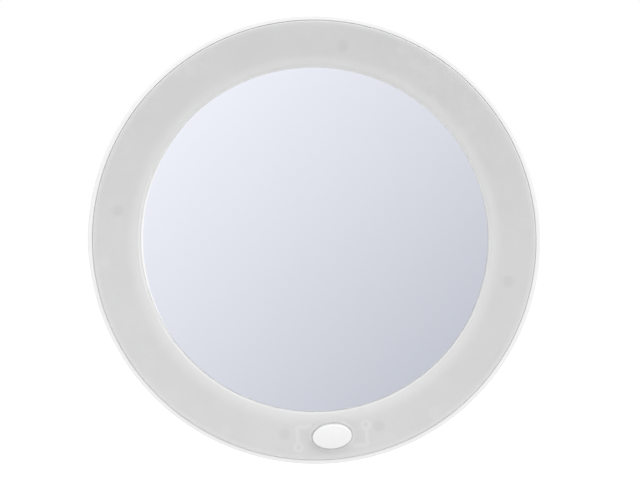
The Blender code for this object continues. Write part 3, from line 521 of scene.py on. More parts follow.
class Tree:
    """A node tree, with short calls that add nodes to it."""

    def __init__(self, tree):
        self.tree = tree

    def add(self, kind, inputs=(), **settings):
        """Outputs of a new node of this kind."""
        node = self.tree.nodes.new(f"ShaderNode{kind}")
        for key, value in settings.items():
            setattr(node, key, value)
        for key, value in dict(inputs).items():
            self.feed(node.inputs[key], value)
        return node.outputs

    def feed(self, socket, value):
        if isinstance(value, bpy.types.NodeSocket):
            self.tree.links.new(value, socket)
        elif socket.type == "RGBA":
            socket.default_value = (*value, 1.0)
        else:
            socket.default_value = value

    def calculate(self, operation, first, second=0.0):
        return self.add("Math", {0: first, 1: second}, operation=operation)[0]

    def vector(self, operation, first, second=(0, 0, 0), output="Vector"):
        inputs = {0: first, 1: second}
        return self.add("VectorMath", inputs, operation=operation)[output]

    def distance(self, first, second=(0, 0, 0)):
        return self.vector("DISTANCE", first, second, "Value")

    def part(self, vector, axis):
        return self.add("SeparateXYZ", {0: vector})[axis]

    def remap(self, value, first, last, low=0.0, high=1.0, kind="LINEAR"):
        inputs = {"Value": value, 1: first, 2: last, 3: low, 4: high}
        return self.add("MapRange", inputs, interpolation_type=kind)["Result"]

    def fade(self, away, limit, soft):
        """One up to the limit and nothing beyond it, with a change as wide as soft."""
        return self.remap(away, limit - soft / 2, limit + soft / 2, 1.0, 0.0, "SMOOTHSTEP")

    def blend(self, factor, first, second, kind="MIX"):
        inputs = {"Factor": factor, 6: first, 7: second}
        return self.add("Mix", inputs, data_type="RGBA", blend_type=kind)[2]

    def most(self, values):
        greatest = values[0]
        for value in values[1:]:
            greatest = self.calculate("MAXIMUM", greatest, value)
        return greatest


class Finish(Tree):
    """A Principled material whose textures lie in the object's own coordinates."""

    def __init__(self, name, roughness, metallic=0.0, **sockets):
        self.material = bpy.data.materials.new(name)
        self.material.use_nodes = True
        super().__init__(self.material.node_tree)
        self.output(Roughness=roughness, Metallic=metallic, **sockets)
        self.place = self.add("TexCoord")["Object"]

    def output(self, **sockets):
        shader = self.tree.nodes["Principled BSDF"]
        for name, value in sockets.items():
            self.feed(shader.inputs[name.replace("_", " ")], value)
        return self.material

    def noise(self, size, detail=2.0, stretch=(1, 1, 1)):
        """Noise whose features measure about the given size, drawn out by the stretch."""
        place = self.vector("DIVIDE", self.place, tuple(size * share for share in stretch))
        inputs = {"Vector": place, "Scale": 1.0, "Detail": detail}
        return self.add("TexNoise", inputs)["Fac"]

    def clouds(self, size, detail=3.0, low=0.0, high=1.0):
        """Noise drawn out to its full contrast, between two values."""
        return self.remap(self.noise(size, detail), *CLOUD_RANGE, low, high)

    def bump(self, height, distance, below=None):
        inputs = {"Height": height, "Distance": distance}
        if below:
            inputs["Normal"] = below
        return self.add("Bump", inputs)["Normal"]

    def lean(self, mask, share):
        """The surface's normal, turned by a share towards the front where the mask says."""
        normal = self.add("NewGeometry")["Normal"]
        inputs = {0: self.calculate("MULTIPLY", mask, share), 4: normal, 5: (0, -1, 0)}
        return self.add("Mix", inputs, data_type="VECTOR")[1]

    def flat_place(self):
        """The point's place across the mirror's face, with no depth."""
        return self.vector("MULTIPLY", self.place, (1.0, 0.0, 1.0))

    def spot(self, place, centre, radius, soft):
        """One inside a round spot on the mirror's face, fading over the soft width."""
        return self.fade(self.distance(place, (centre[0], 0.0, centre[1])), radius, soft)

    def oval(self, place, height, half_width, half_height, soft):
        """One inside an oval on the upright centre line, fading over the soft share of its size."""
        offset = self.vector("SUBTRACT", place, (0.0, 0.0, height))
        share = self.vector("DIVIDE", offset, (half_width, 1.0, half_height))
        return self.fade(self.distance(share), 1.0, soft)

    def bar(self, place, centre, halves, soft):
        """One inside an upright or level bar on the mirror's face."""
        offset = self.vector("SUBTRACT", place, (centre[0], 0.0, centre[1]))
        over = self.vector("SUBTRACT", self.vector("ABSOLUTE", offset), (halves[0], 0.0, halves[1]))
        return self.fade(self.most([self.part(over, "X"), self.part(over, "Z")]), 0.0, soft)


def moulded_plastic(name, dark, light, rough, grain=0.00045, relief=0.000012):
    """Moulded plastic with faint flow clouds, a fine satin grain and a slight waviness."""
    finish = Finish(name, rough[0], IOR=1.46)
    wave = finish.bump(finish.noise(0.011, 1.0), 0.00006)
    return finish.output(
        Base_Color=finish.blend(finish.clouds(0.030), dark, light),
        Roughness=finish.clouds(0.004, 3.0, *rough),
        Normal=finish.bump(finish.noise(grain), relief, wave),
    )


def frosted_ring():
    """Frosted ring plastic, with what lies behind it showing through: arms, bosses and lamps. Painted light
    lightens its slope, lip and outer edge, and painted shade darkens it round the button.
    """
    spread = {"Subsurface_Weight": 1.0, "Subsurface_Radius": (1, 1, 1), "Subsurface_Scale": SPREAD}
    finish = Finish("frosted_ring", 0.5, IOR=1.49, **spread)
    place = finish.flat_place()
    radius = finish.distance(place)
    height = finish.part(place, "Z")
    colour = finish.blend(finish.clouds(0.022, 4.0), (0.640, 0.640, 0.642), (0.660, 0.660, 0.660))
    grain = finish.remap(finish.noise(0.0005), 0.25, 0.75)
    colour = finish.blend(grain, colour, finish.blend(1.0, colour, (0.965, 0.965, 0.965), "MULTIPLY"))
    # Painted light: the slope is lighter towards the glass, by a share that changes from its bottom to its
    # top
    slope = finish.remap(radius, SIGHT_RADIUS, SLOPE_RADIUS + SLOPE_FADE, 1.0, 0.0, "SMOOTHSTEP")
    slope_light_share = finish.remap(height, -SIGHT_RADIUS, SIGHT_RADIUS, *SLOPE_LIGHT_SHARES)
    # Painted light: a lighter line along the lip by the glass, lightest at the top
    lip = finish.remap(radius, SIGHT_RADIUS + LIP_START, SIGHT_RADIUS + LIP_END, 1.0, 0.0)
    lip_light_share = finish.remap(height, -SIGHT_RADIUS, SIGHT_RADIUS, *LIP_LIGHT_SHARES)
    # Painted light: a lighter band just inside the outer edge, where its rounding catches the light
    edge = finish.remap(radius, RING_RADIUS - EDGE_START, RING_RADIUS - EDGE_END)
    # Partly painted shade: a darker oval lowered below the button, over the dark space behind the plastic
    shade = finish.oval(place, button.y - SHADE_DROP, SHADE_HALF_WIDTH, SHADE_HALF_HEIGHT, SHADE_SOFT)
    flange = finish.oval(place, button.y, FLANGE_HALF_WIDTH, FLANGE_HALF_HEIGHT, FLANGE_SOFT)
    bosses = [finish.spot(place, screw.centre, BOSS_RADIUS, BOSS_SOFT) for screw in screws]
    glows = [finish.spot(place, lamp.centre, GLOW_RADIUS, GLOW_SOFT) for lamp in lamps]
    pins = [finish.spot(place, eye_place(side), PIN_RADIUS, PIN_SOFT) for side in (-1, 1)]
    arms = []
    for side in (-1, 1):
        upright = (side * ARM_SPAN, button.y + side * (EYE_DROP - ARM_RISE) / 2)
        arms.append(finish.bar(place, upright, (ARM_WIDTH / 2, (EYE_DROP + ARM_RISE) / 2), ARM_SOFT))
        level = (side * (ARM_SPAN + BUTTON_HALF_WIDTH) / 2, button.y - side * ARM_RISE)
        arms.append(finish.bar(place, level, ((ARM_SPAN - BUTTON_HALF_WIDTH) / 2, ARM_WIDTH / 2), ARM_SOFT))
        arms.append(finish.spot(place, eye_place(side), EYE_RADIUS, ARM_SOFT))
    for mask, share, tint in (
        (slope, slope_light_share, PALE),
        (lip, lip_light_share, (0.95, 0.95, 0.95)),
        (edge, EDGE_LIGHT_SHARE, PALE),
        (shade, SHADE_SHARE, (0.50, 0.50, 0.50)),
        (flange, FLANGE_SHARE, PALE),
        (finish.most(bosses), BOSS_SHARE, (0.50, 0.50, 0.51)),
        (finish.most(glows), GLOW_SHARE, (0.80, 0.80, 0.79)),
        (finish.most(arms), ARM_SHARE, PALE),
        (finish.most(pins), PIN_SHARE, (0.45, 0.45, 0.46)),
    ):
        colour = finish.blend(finish.calculate("MULTIPLY", mask, share), colour, tint)
    roughness = finish.clouds(0.003, 3.0, 0.46, 0.58)
    wave = finish.bump(finish.noise(0.009, 1.0), 0.00004, finish.lean(slope, SLOPE_LEAN))
    normal = finish.bump(finish.noise(0.00035), 0.000014, wave)
    return finish.output(Base_Color=colour, Roughness=roughness, Normal=normal)


def silvered_mirror():
    """Silvered float glass: a faintly cool mirror with a trace of haze, and a painted highlight at its left
    edge, a pale crescent left unsilvered.
    """
    finish = Finish("silvered_glass", 0.015, 1.0, Coat_Weight=0.4, Coat_Roughness=0.01, Coat_IOR=1.52)
    colour = finish.blend(finish.clouds(0.035, 4.0), (0.925, 0.942, 0.978), (0.930, 0.946, 0.980))
    # Painted highlight: a pale, unsilvered crescent at the left edge of the glass
    reach = SIGHT_RADIUS - PAINTED_GLINT_WIDTH + SILVER_OFFSET
    silver = finish.spot(finish.flat_place(), polar(SILVER_OFFSET, SILVER_HEADING), reach, SILVER_SOFT)
    colour = finish.blend(silver, (0.93, 0.93, 0.93), colour)
    roughness = finish.remap(finish.noise(0.012, 5.0), 0.35, 0.75, 0.010, 0.022)
    return finish.output(Base_Color=colour, Roughness=roughness, Metallic=silver)


def ground_glass_edge():
    finish = Finish("ground_glass_edge", 0.35, IOR=1.52)
    colour = finish.blend(finish.noise(0.0008, 3.0), (0.42, 0.55, 0.52), (0.55, 0.66, 0.63))
    return finish.output(Base_Color=colour, Normal=finish.bump(finish.noise(0.0004), 0.00002))


def clear_rubber():
    """Clear soft rubber with faint swirls and a slightly tacky, uneven face."""
    finish = Finish("clear_rubber", 0.15, IOR=1.43, Transmission_Weight=0.80)
    swirls = finish.noise(0.006, 3.0, (1, 1, 3))
    return finish.output(
        Base_Color=finish.blend(swirls, (0.83, 0.86, 0.86), (0.90, 0.92, 0.92)),
        Roughness=finish.clouds(0.003, 3.0, 0.12, 0.24),
        Normal=finish.bump(finish.noise(0.0022), 0.00003),
    )


def drawn_metal(name, dark, light, rough, stretch, size=0.0006):
    """Plated metal with fine draw marks along the stretched axis and a cloudy plating."""
    finish = Finish(name, rough[0], 1.0)
    marks = finish.noise(size, 3.0, stretch)
    return finish.output(
        Base_Color=finish.blend(finish.clouds(0.005), dark, light),
        Roughness=finish.remap(marks, *CLOUD_RANGE, *rough),
        Normal=finish.bump(marks, 0.000008),
    )


def printed_film(name, dark, light):
    """Shrunk film of a cell's jacket: smooth, faintly wrinkled, with a fine print grain."""
    finish = Finish(name, 0.3, IOR=1.5, Coat_Weight=0.3, Coat_Roughness=0.12)
    return finish.output(
        Base_Color=finish.blend(finish.clouds(0.0009), dark, light),
        Roughness=finish.clouds(0.004, 2.0, 0.26, 0.38),
        Normal=finish.bump(finish.noise(0.0030, 2.0, (1, 1, 4)), 0.00003),
    )


def solder_mask():
    """White solder mask over two copper ring tracks, on a woven laminate."""
    finish = Finish("white_board", 0.4, IOR=1.5)
    radius = finish.distance(finish.flat_place())
    width = extent("led_ring_board").half_width - INNER_SKIRT_OUTSIDE
    tracks = []
    for share in TRACK_PLACES:
        offset = finish.calculate("SUBTRACT", radius, INNER_SKIRT_OUTSIDE + width * share)
        away = finish.calculate("ABSOLUTE", offset)
        limits = (TRACK_HALF_WIDTH - TRACK_SOFT / 2, TRACK_HALF_WIDTH + TRACK_SOFT / 2)
        tracks.append(finish.remap(away, *limits, 1.0, 0.0))
    track = finish.most(tracks)
    weave = finish.noise(0.0006, 2.0, (3, 1, 1))
    colour = finish.blend(finish.remap(weave, *CLOUD_RANGE), (0.70, 0.72, 0.70), (0.76, 0.78, 0.76))
    colour = finish.blend(finish.calculate("MULTIPLY", track, TRACK_SHARE), colour, (0.80, 0.78, 0.70))
    normal = finish.bump(track, 0.00004, finish.bump(weave, 0.00001))
    return finish.output(Base_Color=colour, Normal=normal)


def lamp_package():
    """White lamp package with a yellow phosphor disc at the bottom of its lens well."""
    finish = Finish("lamp_package", 0.35, IOR=1.5)
    face = -lamps[0].front
    facing = finish.part(finish.add("NewGeometry")["Normal"], "Y")
    well = finish.remap(finish.part(finish.place, "Y"), face + LENS_START, face + LENS_END)
    phosphor = finish.calculate("MULTIPLY", well, finish.remap(facing, *LENS_FACING))
    grain = finish.noise(0.0002)
    package = finish.blend(grain, (0.76, 0.76, 0.73), (0.84, 0.84, 0.82))
    yellow = finish.blend(grain, (0.80, 0.58, 0.09), (0.88, 0.68, 0.16))
    return finish.output(Base_Color=finish.blend(phosphor, package, yellow))


def foam():
    finish = Finish("grey_foam", 0.95)
    pores = finish.noise(0.0006, 3.0)
    colour = finish.blend(finish.remap(pores, *CLOUD_RANGE), (0.16, 0.16, 0.17), (0.30, 0.30, 0.31))
    return finish.output(Base_Color=colour, Normal=finish.bump(pores, 0.0002))


def build_housing(finish):
    """White housing: turned shell and seat wall, with battery box, well, ribs, posts, track and holes."""
    middle = (FLAT_RADIUS, BACK + HOUSING_CORNER)
    inner_width = HOUSING_INSIDE - FLAT_RADIUS
    inner_height = HOUSING_CORNER - HOUSING_FLOOR
    rim_foot = RIM_FRONT - RIM_ROUND
    edge_foot = RIM_FRONT - RIM_EDGE
    profile = [(0, BACK), (FLAT_RADIUS - SUPPORT, BACK)]
    profile += round_off(middle, HOUSING_CORNER, -90, 0, CURVE_STEPS)
    profile += [(BODY_RADIUS, rim_foot - SUPPORT)]
    profile += round_off((BODY_RADIUS - RIM_ROUND, rim_foot), RIM_ROUND, 0, 90, 2 * EDGE_STEPS)
    profile += round_off((HOUSING_INSIDE + RIM_EDGE, edge_foot), RIM_EDGE, 90, 180)
    profile += [(HOUSING_INSIDE, edge_foot - SUPPORT)]
    profile += arc(middle, inner_width, inner_height, 0, -90, EDGE_STEPS)
    profile += [(FLAT_RADIUS - SUPPORT, FLOOR), (SEAT_OUTSIDE, FLOOR), (SEAT_OUTSIDE, SEAT)]
    profile += [(SEAT_INSIDE, SEAT), (SEAT_INSIDE, FLOOR), (0, FLOOR)]
    housing = turned_piece("mirror_housing", profile, TURN_STEPS, finish)
    for body_to_add in (battery_box(), inner_walls(), inner_ribs()):
        combine(housing, body_to_add, "UNION")
    for cutter in (*door_track(), housing_holes()):
        combine(housing, cutter, "DIFFERENCE")
    flatten_shading(housing)
    place_piece(housing, ["rear_housing"])


def battery_box():
    """Raised box on the back, with rounded edges and a fillet at its foot."""
    sections = [(BOX_FILLET, BACK + WELD)]
    sections += round_off((BOX_FILLET, BACK + FILLET_SINK - BOX_FILLET), BOX_FILLET, 90, 180)
    sections += round_off((-BOX_EDGE, BOX_FACE + BOX_EDGE), BOX_EDGE, 0, -90)
    return add_spread(bmesh.new(), (BOX_HALF_WIDTH, BOX_HALF_LENGTH, BOX_CORNER), sections)


def inner_walls():
    """The well's block and the screw posts."""
    block = rounded_rectangle(WELL_HALF_WIDTH + WELL_WALL, WELL_HALF_LENGTH + WELL_WALL, WELL_CORNER)
    form = add_prism(bmesh.new(), block, FLOOR - WELD, SEAT)
    for screw in screws:
        add_cylinder(form, POST_RADIUS, FLOOR - WELD, ring.back - POST_GAP, SMALL_STEPS, screw.centre)
    return form


def inner_ribs():
    """Plates inside the seat wall, and outside it under the lamp board."""
    form = bmesh.new()
    inner = [(WELL_HALF_WIDTH, FLOOR - WELD), (SEAT_INSIDE + WELD, FLOOR - WELD)]
    inner += [(SEAT_INSIDE + WELD, SEAT - RIB_DROP), (WELL_HALF_WIDTH, SEAT - RIB_DROP)]
    for angle in SEAT_RIB_ANGLES:
        add_radial_plate(form, inner, RIB_THICKNESS, angle)
    board_seat = BOARD_BACK - GAP
    middle = (FLAT_RADIUS, BACK + HOUSING_CORNER)
    half_width = HOUSING_CORNER - (BODY_RADIUS - HOUSING_INSIDE) / 2
    half_height = HOUSING_CORNER - HOUSING_FLOOR / 2
    reach = math.degrees(math.asin((middle[1] - board_seat) / half_height))
    outer = arc(middle, half_width, half_height, -90, -reach, EDGE_STEPS)
    outer += [(SEAT_OUTSIDE - WELD, board_seat), (SEAT_OUTSIDE - WELD, outer[0][1])]
    for angle in BOARD_RIB_ANGLES:
        add_radial_plate(form, outer, RIB_THICKNESS, angle)
    return form


def housing_holes():
    """Stepped screw holes with rounded edges, cup holes, slots for solder tabs and notches for wires."""
    form = bmesh.new()
    edge = COUNTERBORE_RADIUS + HOLE_EDGE
    bore = SCREW_RADIUS + GAP
    for screw in screws:
        head_seat = screw.back + SCREW_HEAD + GAP
        profile = [(0, BACK - OVERRUN), (edge, BACK - OVERRUN)]
        profile += round_off((edge, BACK + HOLE_EDGE), HOLE_EDGE, 270, 180, EDGE_STEPS // 2)
        profile += [(COUNTERBORE_RADIUS, head_seat), (bore, head_seat)]
        profile += [(bore, ring.back + OVERRUN), (0, ring.back + OVERRUN)]
        add_turned(form, profile, HOLE_STEPS, screw.centre)
    for cup in cups:
        add_cylinder(form, NECK_RADIUS + GAP, BACK - OVERRUN, FLOOR + OVERRUN, HOLE_STEPS, cup.centre)
    for side, pole in ((-1, "negative"), (1, "positive")):
        tab = extent(f"contact_{pole}")
        lead = extent(f"wire_{pole}")
        slot_ends = (WELL_HALF_LENGTH - 2 * GAP, WELL_HALF_LENGTH + WELL_WALL + OVERRUN)
        y_range = sorted(side * end for end in slot_ends)
        depth = (lead.front + lead.back) / 2
        x_range = (tab.x - TAB_SLOT_HALF_WIDTH, tab.x + TAB_SLOT_HALF_WIDTH)
        add_box(form, x_range, y_range, (depth - TAB_SLOT_HALF_DEPTH, depth + TAB_SLOT_HALF_DEPTH))
        notch_y = side * math.sqrt(((SEAT_INSIDE + SEAT_OUTSIDE) / 2) ** 2 - lead.x**2)
        reach = SEAT_WALL + OVERRUN
        x_range = (lead.x - NOTCH_WIDTH / 2, lead.x + NOTCH_WIDTH / 2)
        add_box(form, x_range, (notch_y - reach, notch_y + reach), (lead.back, SEAT + OVERRUN))
    return form


def door_track():
    """Cutters for the door's undercut track, its opening and the well, each ending inside the one before."""
    top = BOX_HALF_LENGTH + OVERRUN
    track_half = door.half_width + GAP
    track_back = BOX_FACE + TRACK_LIP
    track_front = DOOR_INSIDE + GAP
    track_ends = (-TONGUE_FOOT - GAP, top)
    track = add_box(bmesh.new(), (-track_half, track_half), track_ends, (track_back, track_front))
    half = WELL_HALF_WIDTH + GAP
    opening_depths = (BOX_FACE - OVERRUN, track_back + GAP)
    opening = add_box(bmesh.new(), (-half, half), (-WELL_HALF_LENGTH, top + OVERRUN), opening_depths)
    outline = rounded_rectangle(WELL_HALF_WIDTH, WELL_HALF_LENGTH, WELL_INNER_CORNER)
    well = add_prism(bmesh.new(), outline, track_front - GAP, SEAT - RIB_THICKNESS)
    return track, opening, well


def build_door(finish):
    """Sliding door: tongued plate, rounded end wall and grip grooves with soft ends."""
    door_top = BOX_HALF_LENGTH + GAP
    plate_foot = GAP - WELL_HALF_LENGTH
    plate_size = (WELL_HALF_WIDTH, (door_top + WELD - plate_foot) / 2, DOOR_EDGE)
    sections = [(-DOOR_EDGE, BOX_FACE), (0, BOX_FACE + DOOR_EDGE), (0, DOOR_INSIDE - WELD)]
    centre = (0, (plate_foot + door_top + WELD) / 2)
    plate = add_spread(bmesh.new(), plate_size, sections, centre, corner_grows=False)
    piece = make_piece("sliding_door", plate, finish)
    tongue_depths = (BOX_FACE + TRACK_LIP + GAP, DOOR_INSIDE)
    tongue_ends = (-TONGUE_FOOT, door_top + WELD)
    tongue = add_box(bmesh.new(), (-door.half_width, door.half_width), tongue_ends, tongue_depths)
    combine(piece, tongue, "UNION")
    wall_size = (door.half_width + GAP, DOOR_END_WALL / 2, DOOR_EDGE)
    sections = round_off((-BOX_EDGE, BOX_FACE + BOX_EDGE), BOX_EDGE, -90, 0)
    sections.append((0, BACK - GAP))
    centre = (0, door_top + DOOR_END_WALL / 2)
    combine(piece, add_spread(bmesh.new(), wall_size, sections, centre, corner_grows=False), "UNION")
    grooves = bmesh.new()
    sections = [(GRIP_FLARE, BOX_FACE - OVERRUN), (GRIP_FLARE, BOX_FACE)]
    sections += [(0, BOX_FACE + GRIP_FLARE), (0, BOX_FACE + GRIP_DEPTH)]
    for number in range(GRIP_COUNT):
        centre = (0, door_top - GRIP_INSET - number * GRIP_PITCH - GRIP_HEIGHT / 2)
        add_spread(grooves, (GRIP_HALF_WIDTH, GRIP_HEIGHT / 2, GRIP_HEIGHT / 2), sections, centre)
    combine(piece, grooves, "DIFFERENCE")
    flatten_shading(piece)
    place_piece(piece, ["battery_door"], "door")


def ring_profile():
    """Lip on the glass, rounded slope, dished band, rounded edge, and the skirts behind."""
    outer = (RING_RADIUS - RING_EDGE, BAND_OUTER - RING_EDGE)
    profile = [(SIGHT_RADIUS, LIP_BACK)]
    profile += arc((SLOPE_RADIUS, SLOPE_FOOT), SLOPE_WIDTH, SLOPE_RISE, 180, 90 + SLOPE_TURN, CURVE_STEPS)
    for step in range(1, CURVE_STEPS):
        radius = BAND_START + (RING_RADIUS - RING_EDGE - BAND_START) * step / CURVE_STEPS
        profile.append((radius, band_depth(radius)))
    profile += round_off(outer, RING_EDGE, 90, 0, 2 * EDGE_STEPS)
    skirt_inside = RING_RADIUS - RING_SKIRT
    profile += [
        (RING_RADIUS, BAND_OUTER - RING_OUTER_SKIRT),
        (skirt_inside, BAND_OUTER - RING_OUTER_SKIRT),
        (skirt_inside, band_depth(skirt_inside) - RING_THICKNESS),
        (BAND_START, BAND_INNER - RING_THICKNESS),
        (INNER_SKIRT_OUTSIDE, BAND_INNER - RING_THICKNESS - SLOPE_RELIEF),
        (INNER_SKIRT_OUTSIDE, SEAT + GAP),
        (INNER_SKIRT, SEAT + GAP),
        (INNER_SKIRT, LIP_BACK),
    ]
    return profile


def button_hole():
    """Cutter for the button's hole, whose edge is chamfered along the dished band."""
    half_width = BUTTON_HALF_WIDTH + BUTTON_FIT
    half_height = BUTTON_HALF_HEIGHT + BUTTON_FIT
    sections = [(0.0, FLANGE_BACK - BAND_OUTER), (0.0, -HOLE_CHAMFER), (OVERRUN, OVERRUN - HOLE_CHAMFER)]
    form = bmesh.new()
    rings = [[form.verts.new((0, button.y, FLANGE_BACK))]]
    for spread, rise in sections:
        ring_points = []
        for step in range(OVAL_STEPS):
            angle = math.tau * step / OVAL_STEPS
            x = (half_width + spread) * math.cos(angle)
            y = button.y + (half_height + spread) * math.sin(angle)
            ring_points.append(form.verts.new((x, y, band_depth(math.hypot(x, y)) + rise)))
        rings.append(ring_points)
    rings.append([form.verts.new((0, button.y, BAND_OUTER + OVERRUN))])
    bridge(form, rings, closed=False)
    return form


def build_ring(finish):
    piece = turned_piece("light_ring", ring_profile(), TURN_STEPS, finish)
    middle_depth = band_depth(BAND_MIDDLE) - RING_THICKNESS / 2
    posts = bmesh.new()
    bore = SCREW_RADIUS + GAP
    for screw in screws:
        bore_end = screw.front + GAP
        profile = [(0, bore_end), (bore, bore_end), (bore, ring.back)]
        profile += [(BOSS_RADIUS, ring.back), (BOSS_RADIUS, middle_depth), (0, middle_depth)]
        add_turned(posts, profile, SMALL_STEPS, screw.centre)
    foot = FLANGE_BACK - GAP
    profile = [(0, foot - PIN_HEAD)]
    profile += arc((0, foot), PIN_HEAD_RADIUS, PIN_HEAD, 270, 360, EDGE_STEPS)[1:]
    profile += [(PIN_RADIUS, foot), (PIN_RADIUS, middle_depth), (0, middle_depth)]
    for side in (-1, 1):
        add_turned(posts, profile, SMALL_STEPS, eye_place(side))
    combine(piece, posts, "UNION")
    combine(piece, button_hole(), "DIFFERENCE")
    flatten_shading(piece)
    place_piece(piece, ["diffuser_ring"])


def build_glass(mirror, edge):
    """Mirror glass with a rounded arris, its face silvered and its edge ground."""
    inner = GLASS_RADIUS - GLASS_ARRIS
    profile = [(0, glass.back), (inner, glass.back)]
    profile += round_off((inner, glass.back + GLASS_ARRIS), GLASS_ARRIS, -90, 0, EDGE_STEPS // 2)[1:]
    profile += round_off((inner, glass.front - GLASS_ARRIS), GLASS_ARRIS, 0, 90, EDGE_STEPS // 2)
    profile += [(inner - SUPPORT, glass.front), (0, glass.front)]
    piece = turned_piece("glass_disc", profile, TURN_STEPS, mirror)
    piece.data.materials.append(edge)
    for face in piece.data.polygons:
        face.material_index = int(math.hypot(face.center.x, face.center.z) > inner - GLASS_ARRIS)
    flatten_shading(piece)
    place_piece(piece, ["mirror_glass"])


def build_button(finish):
    """Oval cap with a domed face and a rounded edge, hollow behind, with its flange and stem."""
    front = button.front
    edge = front - BUTTON_CROWN
    ceiling = edge - BUTTON_WALL
    flat = (BUTTON_HALF_WIDTH - BUTTON_EDGE, BUTTON_HALF_HEIGHT - BUTTON_EDGE)
    sections = [(0, 0, front)]
    for step in range(1, CURVE_STEPS):
        share = step / CURVE_STEPS
        sections.append((flat[0] * share, flat[1] * share, front - BUTTON_CROWN * share**2))
    for out, depth in round_off((0, edge - BUTTON_EDGE), BUTTON_EDGE, 90, 0):
        sections.append((flat[0] + out, flat[1] + out, depth))
    hollow = (BUTTON_HALF_WIDTH - BUTTON_WALL, BUTTON_HALF_HEIGHT - BUTTON_WALL)
    sections += [
        (BUTTON_HALF_WIDTH, BUTTON_HALF_HEIGHT, FLANGE_FRONT),
        (FLANGE_HALF_WIDTH, FLANGE_HALF_HEIGHT, FLANGE_FRONT),
        (FLANGE_HALF_WIDTH, FLANGE_HALF_HEIGHT, FLANGE_BACK),
        (*hollow, FLANGE_BACK),
        (*hollow, ceiling),
        (STEM_RADIUS, STEM_RADIUS, ceiling),
        (STEM_RADIUS, STEM_RADIUS, button.back),
        (0, 0, button.back),
    ]
    cap = add_ovals(bmesh.new(), sections, OVAL_STEPS, (0, button.y))
    piece = make_piece("push_button", cap, finish)
    flatten_shading(piece)
    place_piece(piece, ["button_cap"], "button")


def build_arm(node, side, finish):
    """L-shaped spring arm, with its eyelet on its pin and its other end at the button's flange."""
    half = ARM_WIDTH / 2
    nearest = ARM_RISE - half
    end = FLANGE_HALF_WIDTH * math.sqrt(1 - (nearest / FLANGE_HALF_HEIGHT) ** 2) + GAP
    bend = ARM_WIDTH * ARM_BEND
    middle = (ARM_SPAN + half - bend, -ARM_RISE - half + bend)
    outer = round_off(middle, bend, 0, -90)
    inner = round_off(middle, bend - ARM_WIDTH, -90, 0)
    path = outer + subdivide((outer[-1][0], end), -ARM_RISE - half)
    path += subdivide((end, inner[0][0]), -ARM_RISE + half) + inner
    opening = math.degrees(math.asin(half / EYE_RADIUS))
    path += round_off((ARM_SPAN, EYE_DROP), EYE_RADIUS, 270 - opening, -90 + opening, CURVE_STEPS)
    outline = [(side * x, button.y + side * y) for x, y in path]
    form = add_prism(bmesh.new(), outline, FLANGE_BACK, FLANGE_FRONT)
    bmesh.ops.triangulate(form, faces=[face for face in form.faces if len(face.verts) > 4])
    piece = make_piece(f"spring_arm_{node.rsplit('_', 1)[1]}", form, finish)
    bore = bmesh.new()
    depths = (FLANGE_BACK - OVERRUN, FLANGE_FRONT + OVERRUN)
    add_cylinder(bore, PIN_RADIUS + GAP, *depths, SMALL_STEPS, eye_place(side))
    combine(piece, bore, "DIFFERENCE")
    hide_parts(node)
    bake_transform(piece)


def subdivide(x_range, y):
    """Points along a level run, without its ends, at even steps."""
    points = []
    for step in range(1, CURVE_STEPS):
        points.append((x_range[0] + (x_range[1] - x_range[0]) * step / CURVE_STEPS, y))
    return points


def build_screw(number, screw, finish):
    """Pan-head screw with a domed head, crossed drive and a blunt point."""
    head_front = screw.back + SCREW_HEAD
    profile = [(0, screw.back)]
    dome = SCREW_HEAD / 2
    profile += arc((0, screw.back + dome), SCREW_HEAD_RADIUS, dome, -90, 0, EDGE_STEPS)[1:]
    profile += [(SCREW_HEAD_RADIUS, head_front), (SCREW_RADIUS, head_front)]
    profile += [(SCREW_RADIUS, screw.front - SCREW_RADIUS)]
    profile += [(SCREW_RADIUS / 2, screw.front), (0, screw.front)]
    piece = turned_piece(f"back_screw_{number}", profile, SMALL_STEPS, finish, screw.centre)
    far = SCREW_DRIVE_RADIUS
    half = SCREW_DRIVE_SLOT / 2
    outline = []
    for cosine, sine in ((1, 0), (0, 1), (-1, 0), (0, -1)):
        for run, rise in ((far, -half), (far, half), (half, half)):
            x = cosine * run - sine * rise
            y = sine * run + cosine * rise
            outline.append((screw.x + x, screw.y + y))
    drive = add_prism(bmesh.new(), outline, screw.back - OVERRUN, screw.back + SCREW_DRIVE_DEPTH)
    combine(piece, drive, "DIFFERENCE")
    place_piece(piece, [f"housing_screw_{number}"])


def build_cup(number, cup, finish):
    """Suction cup: thin dome with a rounded lip, a waisted neck and a domed locking head."""
    radius = cup.half_width
    lip = CUP_LIP_THICKNESS / 2
    shoulder = BACK - GAP - CUP_SHOULDER_RISE
    corner = (CUP_SHOULDER_RADIUS - CUP_ROUND, BACK - GAP - CUP_ROUND)
    dome_rise = shoulder - CUP_LIP_THICKNESS
    head_edge = FLOOR + GAP + CUP_HEAD_EDGE
    profile = [(0, CUP_HOLLOW)]
    profile += arc((0, 0), radius - CUP_LIP_WIDTH, CUP_HOLLOW, 90, 0, CURVE_STEPS)[1:]
    profile += round_off((radius - lip, lip), lip, -90, 0)
    profile += arc((0, CUP_LIP_THICKNESS), radius, dome_rise, 0, CUP_DOME_ANGLE, CURVE_STEPS)
    profile += [(CUP_SHOULDER_RADIUS, shoulder)]
    profile += round_off(corner, CUP_ROUND, 0, 90, EDGE_STEPS // 2)
    profile += [(NECK_RADIUS, BACK - GAP), (NECK_RADIUS, FLOOR + GAP), (CUP_HEAD_RADIUS, FLOOR + GAP)]
    profile += arc((0, head_edge), CUP_HEAD_RADIUS, cup.front - head_edge, 0, 90, CURVE_STEPS)
    profile[-1] = (0, cup.front)
    piece = turned_piece(f"wall_cup_{number}", profile, CUP_STEPS, finish, cup.centre)
    place_piece(piece, [f"suction_cup_{number}"])


